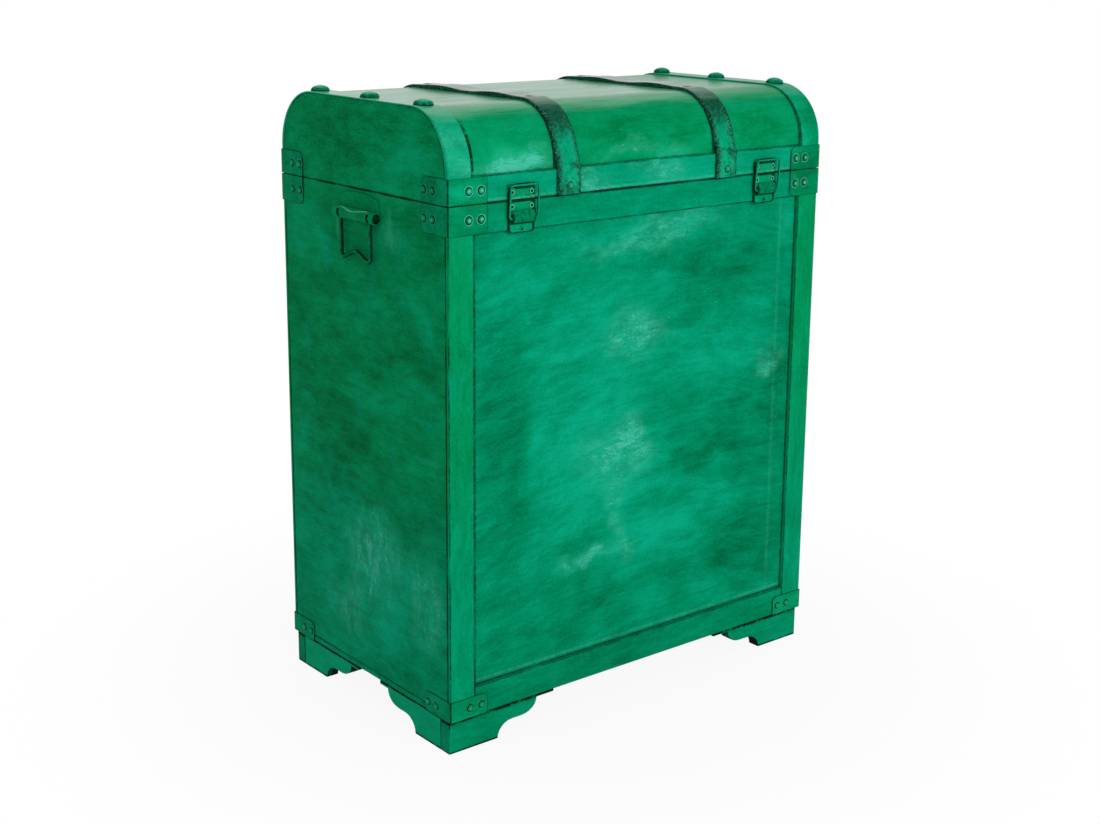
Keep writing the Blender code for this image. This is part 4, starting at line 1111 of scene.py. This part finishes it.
def dress_boards():
    side = painted_board("side_paint", "side_board_right", "Y", WARM, 0.5, side_lines, BODY_HOLLOW, 1.0,
                         wipes=SIDE_WIPES, dust=SIDE_DUST, mottle=1.9, scrub="Z")
    for name in SIDES:
        soften(f"side_board_{name}", side, "green_board", "chest")
    for face in FACES:
        wipes, dust = (FRONT_WIPES, FRONT_DUST) if face == "front" else ((), ())
        panel = painted_board(f"{face}_panel_paint", f"{face}_board", "X", COOL, 0.5, panel_lines,
                              BODY_HOLLOW, wipes=wipes, dust=dust, mottle=1.6, slant=0.05)
        soften(f"{face}_board", panel, "green_board", "chest")
    floor = painted_board("bottom_paint", "bottom_board", "X", COOL, 0.5, hollow=FLOOR_HOLLOW)
    soften("bottom_board", floor, "green_board", "chest")
    stile = painted_board("stile_paint", "front_stile_right", "Z", WARM, 0.58, corner_lines, edge=0.85)
    top = painted_board("top_rail_paint", "front_top_rail", "X", COOL, 0.52, top_rail_lines, edge=0.8)
    low = painted_board("bottom_rail_paint", "front_bottom_rail", "X", COOL, 0.36, corner_lines, edge=0.8)
    foot_face = painted_board("foot_face_paint", "foot_face_front_right", "X", COOL, 0.48,
                              foot_face_lines, edge=0.9)
    foot_return = painted_board("foot_return_paint", "foot_return_front_right", "Y", EVEN, 0.85,
                                foot_return_lines, edge=0.9)
    for face in FACES:
        soften(f"{face}_top_rail", top, "green_frame", "chest")
        soften(f"{face}_bottom_rail", low, "green_frame", "chest")
        for name in SIDES:
            soften(f"{face}_stile_{name}", stile, "green_frame", "chest")
            soften(f"foot_face_{face}_{name}", foot_face, "green_frame", "chest", FOOT_EASE)
            soften(f"foot_return_{face}_{name}", foot_return, "green_frame", "chest", FOOT_EASE)


def dress_lid():
    skin = painted_board("lid_skin_paint", "lid_skin", "X", WARM, 0.66, skin_lines, LID_HOLLOW, 0.4, True,
                         wipes=SKIN_WIPES, dust=SKIN_DUST, mottle=1.2)
    soften("lid_skin", skin, "green_board", "lid")
    end = painted_board("lid_end_paint", "lid_end_right", "Y", WARM, 0.50, lid_end_lines, LID_HOLLOW, 0.4,
                        wipes=END_WIPES, mottle=2.4)
    rail = painted_board("lid_rail_paint", "lid_front_rail", "X", COOL, 0.70, lid_rail_lines, edge=0.8,
                         dust=RAIL_DUST)
    for name in SIDES:
        soften(f"lid_end_{name}", end, "green_board", "lid")
    for face in FACES:
        soften(f"lid_{face}_rail", rail, "green_frame", "lid")


def dress_iron():
    build_brackets(painted_iron("bracket_paint", EVEN, 0.53, wipes=IRON_WIPES))
    build_bands(painted_iron("band_paint", EVEN, 0.92, True, BAND_WIPES, BAND_DUST))
    build_straps(strap_leather())
    build_fittings(painted_iron("latch_paint", EVEN, 0.66),
                   ("latch_catch", "lid", build_catch), ("latch_base", "chest", build_base),
                   ("latch_lever", None, build_lever), ("latch_bail", None, build_bail))
    build_fittings(painted_iron("handle_paint", WARM, 0.48),
                   ("handle_plate", "chest", build_handle_plate), ("handle_loop", None, build_handle_loop))


def dress_hinges():
    """Dark painted leaves on plain steel pins."""
    steel, nodes, shader = finish("pin_steel")
    scratches = nodes.cloud((40, 900, 900), 3)
    nodes.fill(shader, {"Base Color": STEEL, "Metallic": 1.0, "Roughness": 0.3 + scratches * 0.2})
    for leaf, body in (("body", "chest"), ("lid", "lid")):
        paint = painted_board(f"hinge_{leaf}_paint", f"hinge_{leaf}_leaf_right", "X", COOL, 0.3, edge=0.8)
        for side in SIDES:
            soften(f"hinge_{leaf}_leaf_{side}", paint, "hinge_steel", body, LEAF_EASE)
    for side in SIDES:
        soften(f"hinge_pin_{side}", steel, "pin_steel", "chest", PIN_EASE)


def build_stage():
    """Pale floor and white surroundings."""
    material, nodes, shader = finish("floor_paper")
    shape = bmesh.new()
    bmesh.ops.create_grid(shape, x_segments=1, y_segments=1, size=FLOOR_HALF)
    floor = add_object("floor", mesh_of(shape, "floor", material))
    nodes.fill(shader, {"Base Color": FLOOR_GREY, "Roughness": 0.9, "Specular IOR Level": 0.0})
    seen = seen_directly(nodes)
    away = nodes.rise(nodes.vector("LENGTH", nodes.place, (0, 0, 0), 1), SHADE_NEAR, SHADE_FAR)
    glow = nodes.node("ShaderNodeEmission", {}, {"Color": WHITE, "Strength": 1.0})
    factor = seen * (1 - SHADE_SHARE + away * SHADE_SHARE)
    paper = nodes.node("ShaderNodeMixShader", {}, {0: factor, 1: Value(nodes, shader.outputs[0]), 2: glow})
    nodes.fill(material.node_tree.nodes["Material Output"], {"Surface": paper})
    world = bpy.data.worlds.new("studio")
    world.use_nodes = True
    bpy.context.scene.world = world
    around = Nodes(world.node_tree)
    backdrop = world.node_tree.nodes["Background"]
    strength = WORLD_LIGHT + seen_directly(around) * (1 - WORLD_LIGHT)
    around.fill(backdrop, {"Color": WHITE, "Strength": strength})


def seen_directly(nodes):
    """1 where the camera, a reflection or glass sees the surroundings, 0 where they only give light."""
    kinds = ("Camera", "Glossy", "Transmission")
    rays = [nodes.node("ShaderNodeLightPath", output=f"Is {kind} Ray") for kind in kinds]
    return rays[0].most(rays[1]).most(rays[2])


def build_light():
    """One broad softbox in front of the chest, a little to the left."""
    lamp = bpy.data.lights.new("front_softbox", "AREA")
    lamp.shape = "RECTANGLE"
    lamp.size, lamp.size_y = LAMP_SIZE
    lamp.energy = LAMP_POWER
    holder = add_object("front_softbox", lamp)
    holder.location = LAMP_PLACE
    aim = Vector((0, MIDDLE_Y, LAMP_AIM_Z)) - Vector(LAMP_PLACE)
    holder.rotation_euler = aim.to_track_quat("-Z", "Y").to_euler()


def build_camera():
    lens = bpy.data.cameras.new("camera")
    lens.sensor_fit = "HORIZONTAL"
    lens.sensor_width = SENSOR
    lens.lens = FOCAL_PIXELS / PICTURE_WIDTH * SENSOR
    lens.shift_y = (AXIS_ROW - PICTURE_HEIGHT / 2) / PICTURE_WIDTH
    camera = add_object("camera", lens)
    turn = Matrix.Rotation(CAMERA_TURN, 4, "Z") @ Matrix.Rotation(CAMERA_TILT, 4, "X")
    upright = Matrix.Rotation(CAMERA_ROLL, 4, "Y") @ Matrix.Rotation(math.pi / 2, 4, "X")
    camera.matrix_world = Matrix.Translation(CAMERA_PLACE) @ turn @ upright
    bpy.context.scene.camera = camera


dress_boards()
dress_lid()
dress_iron()
dress_hinges()
build_stage()
build_light()
build_camera()
bpy.context.scene.view_settings.view_transform = "Standard"
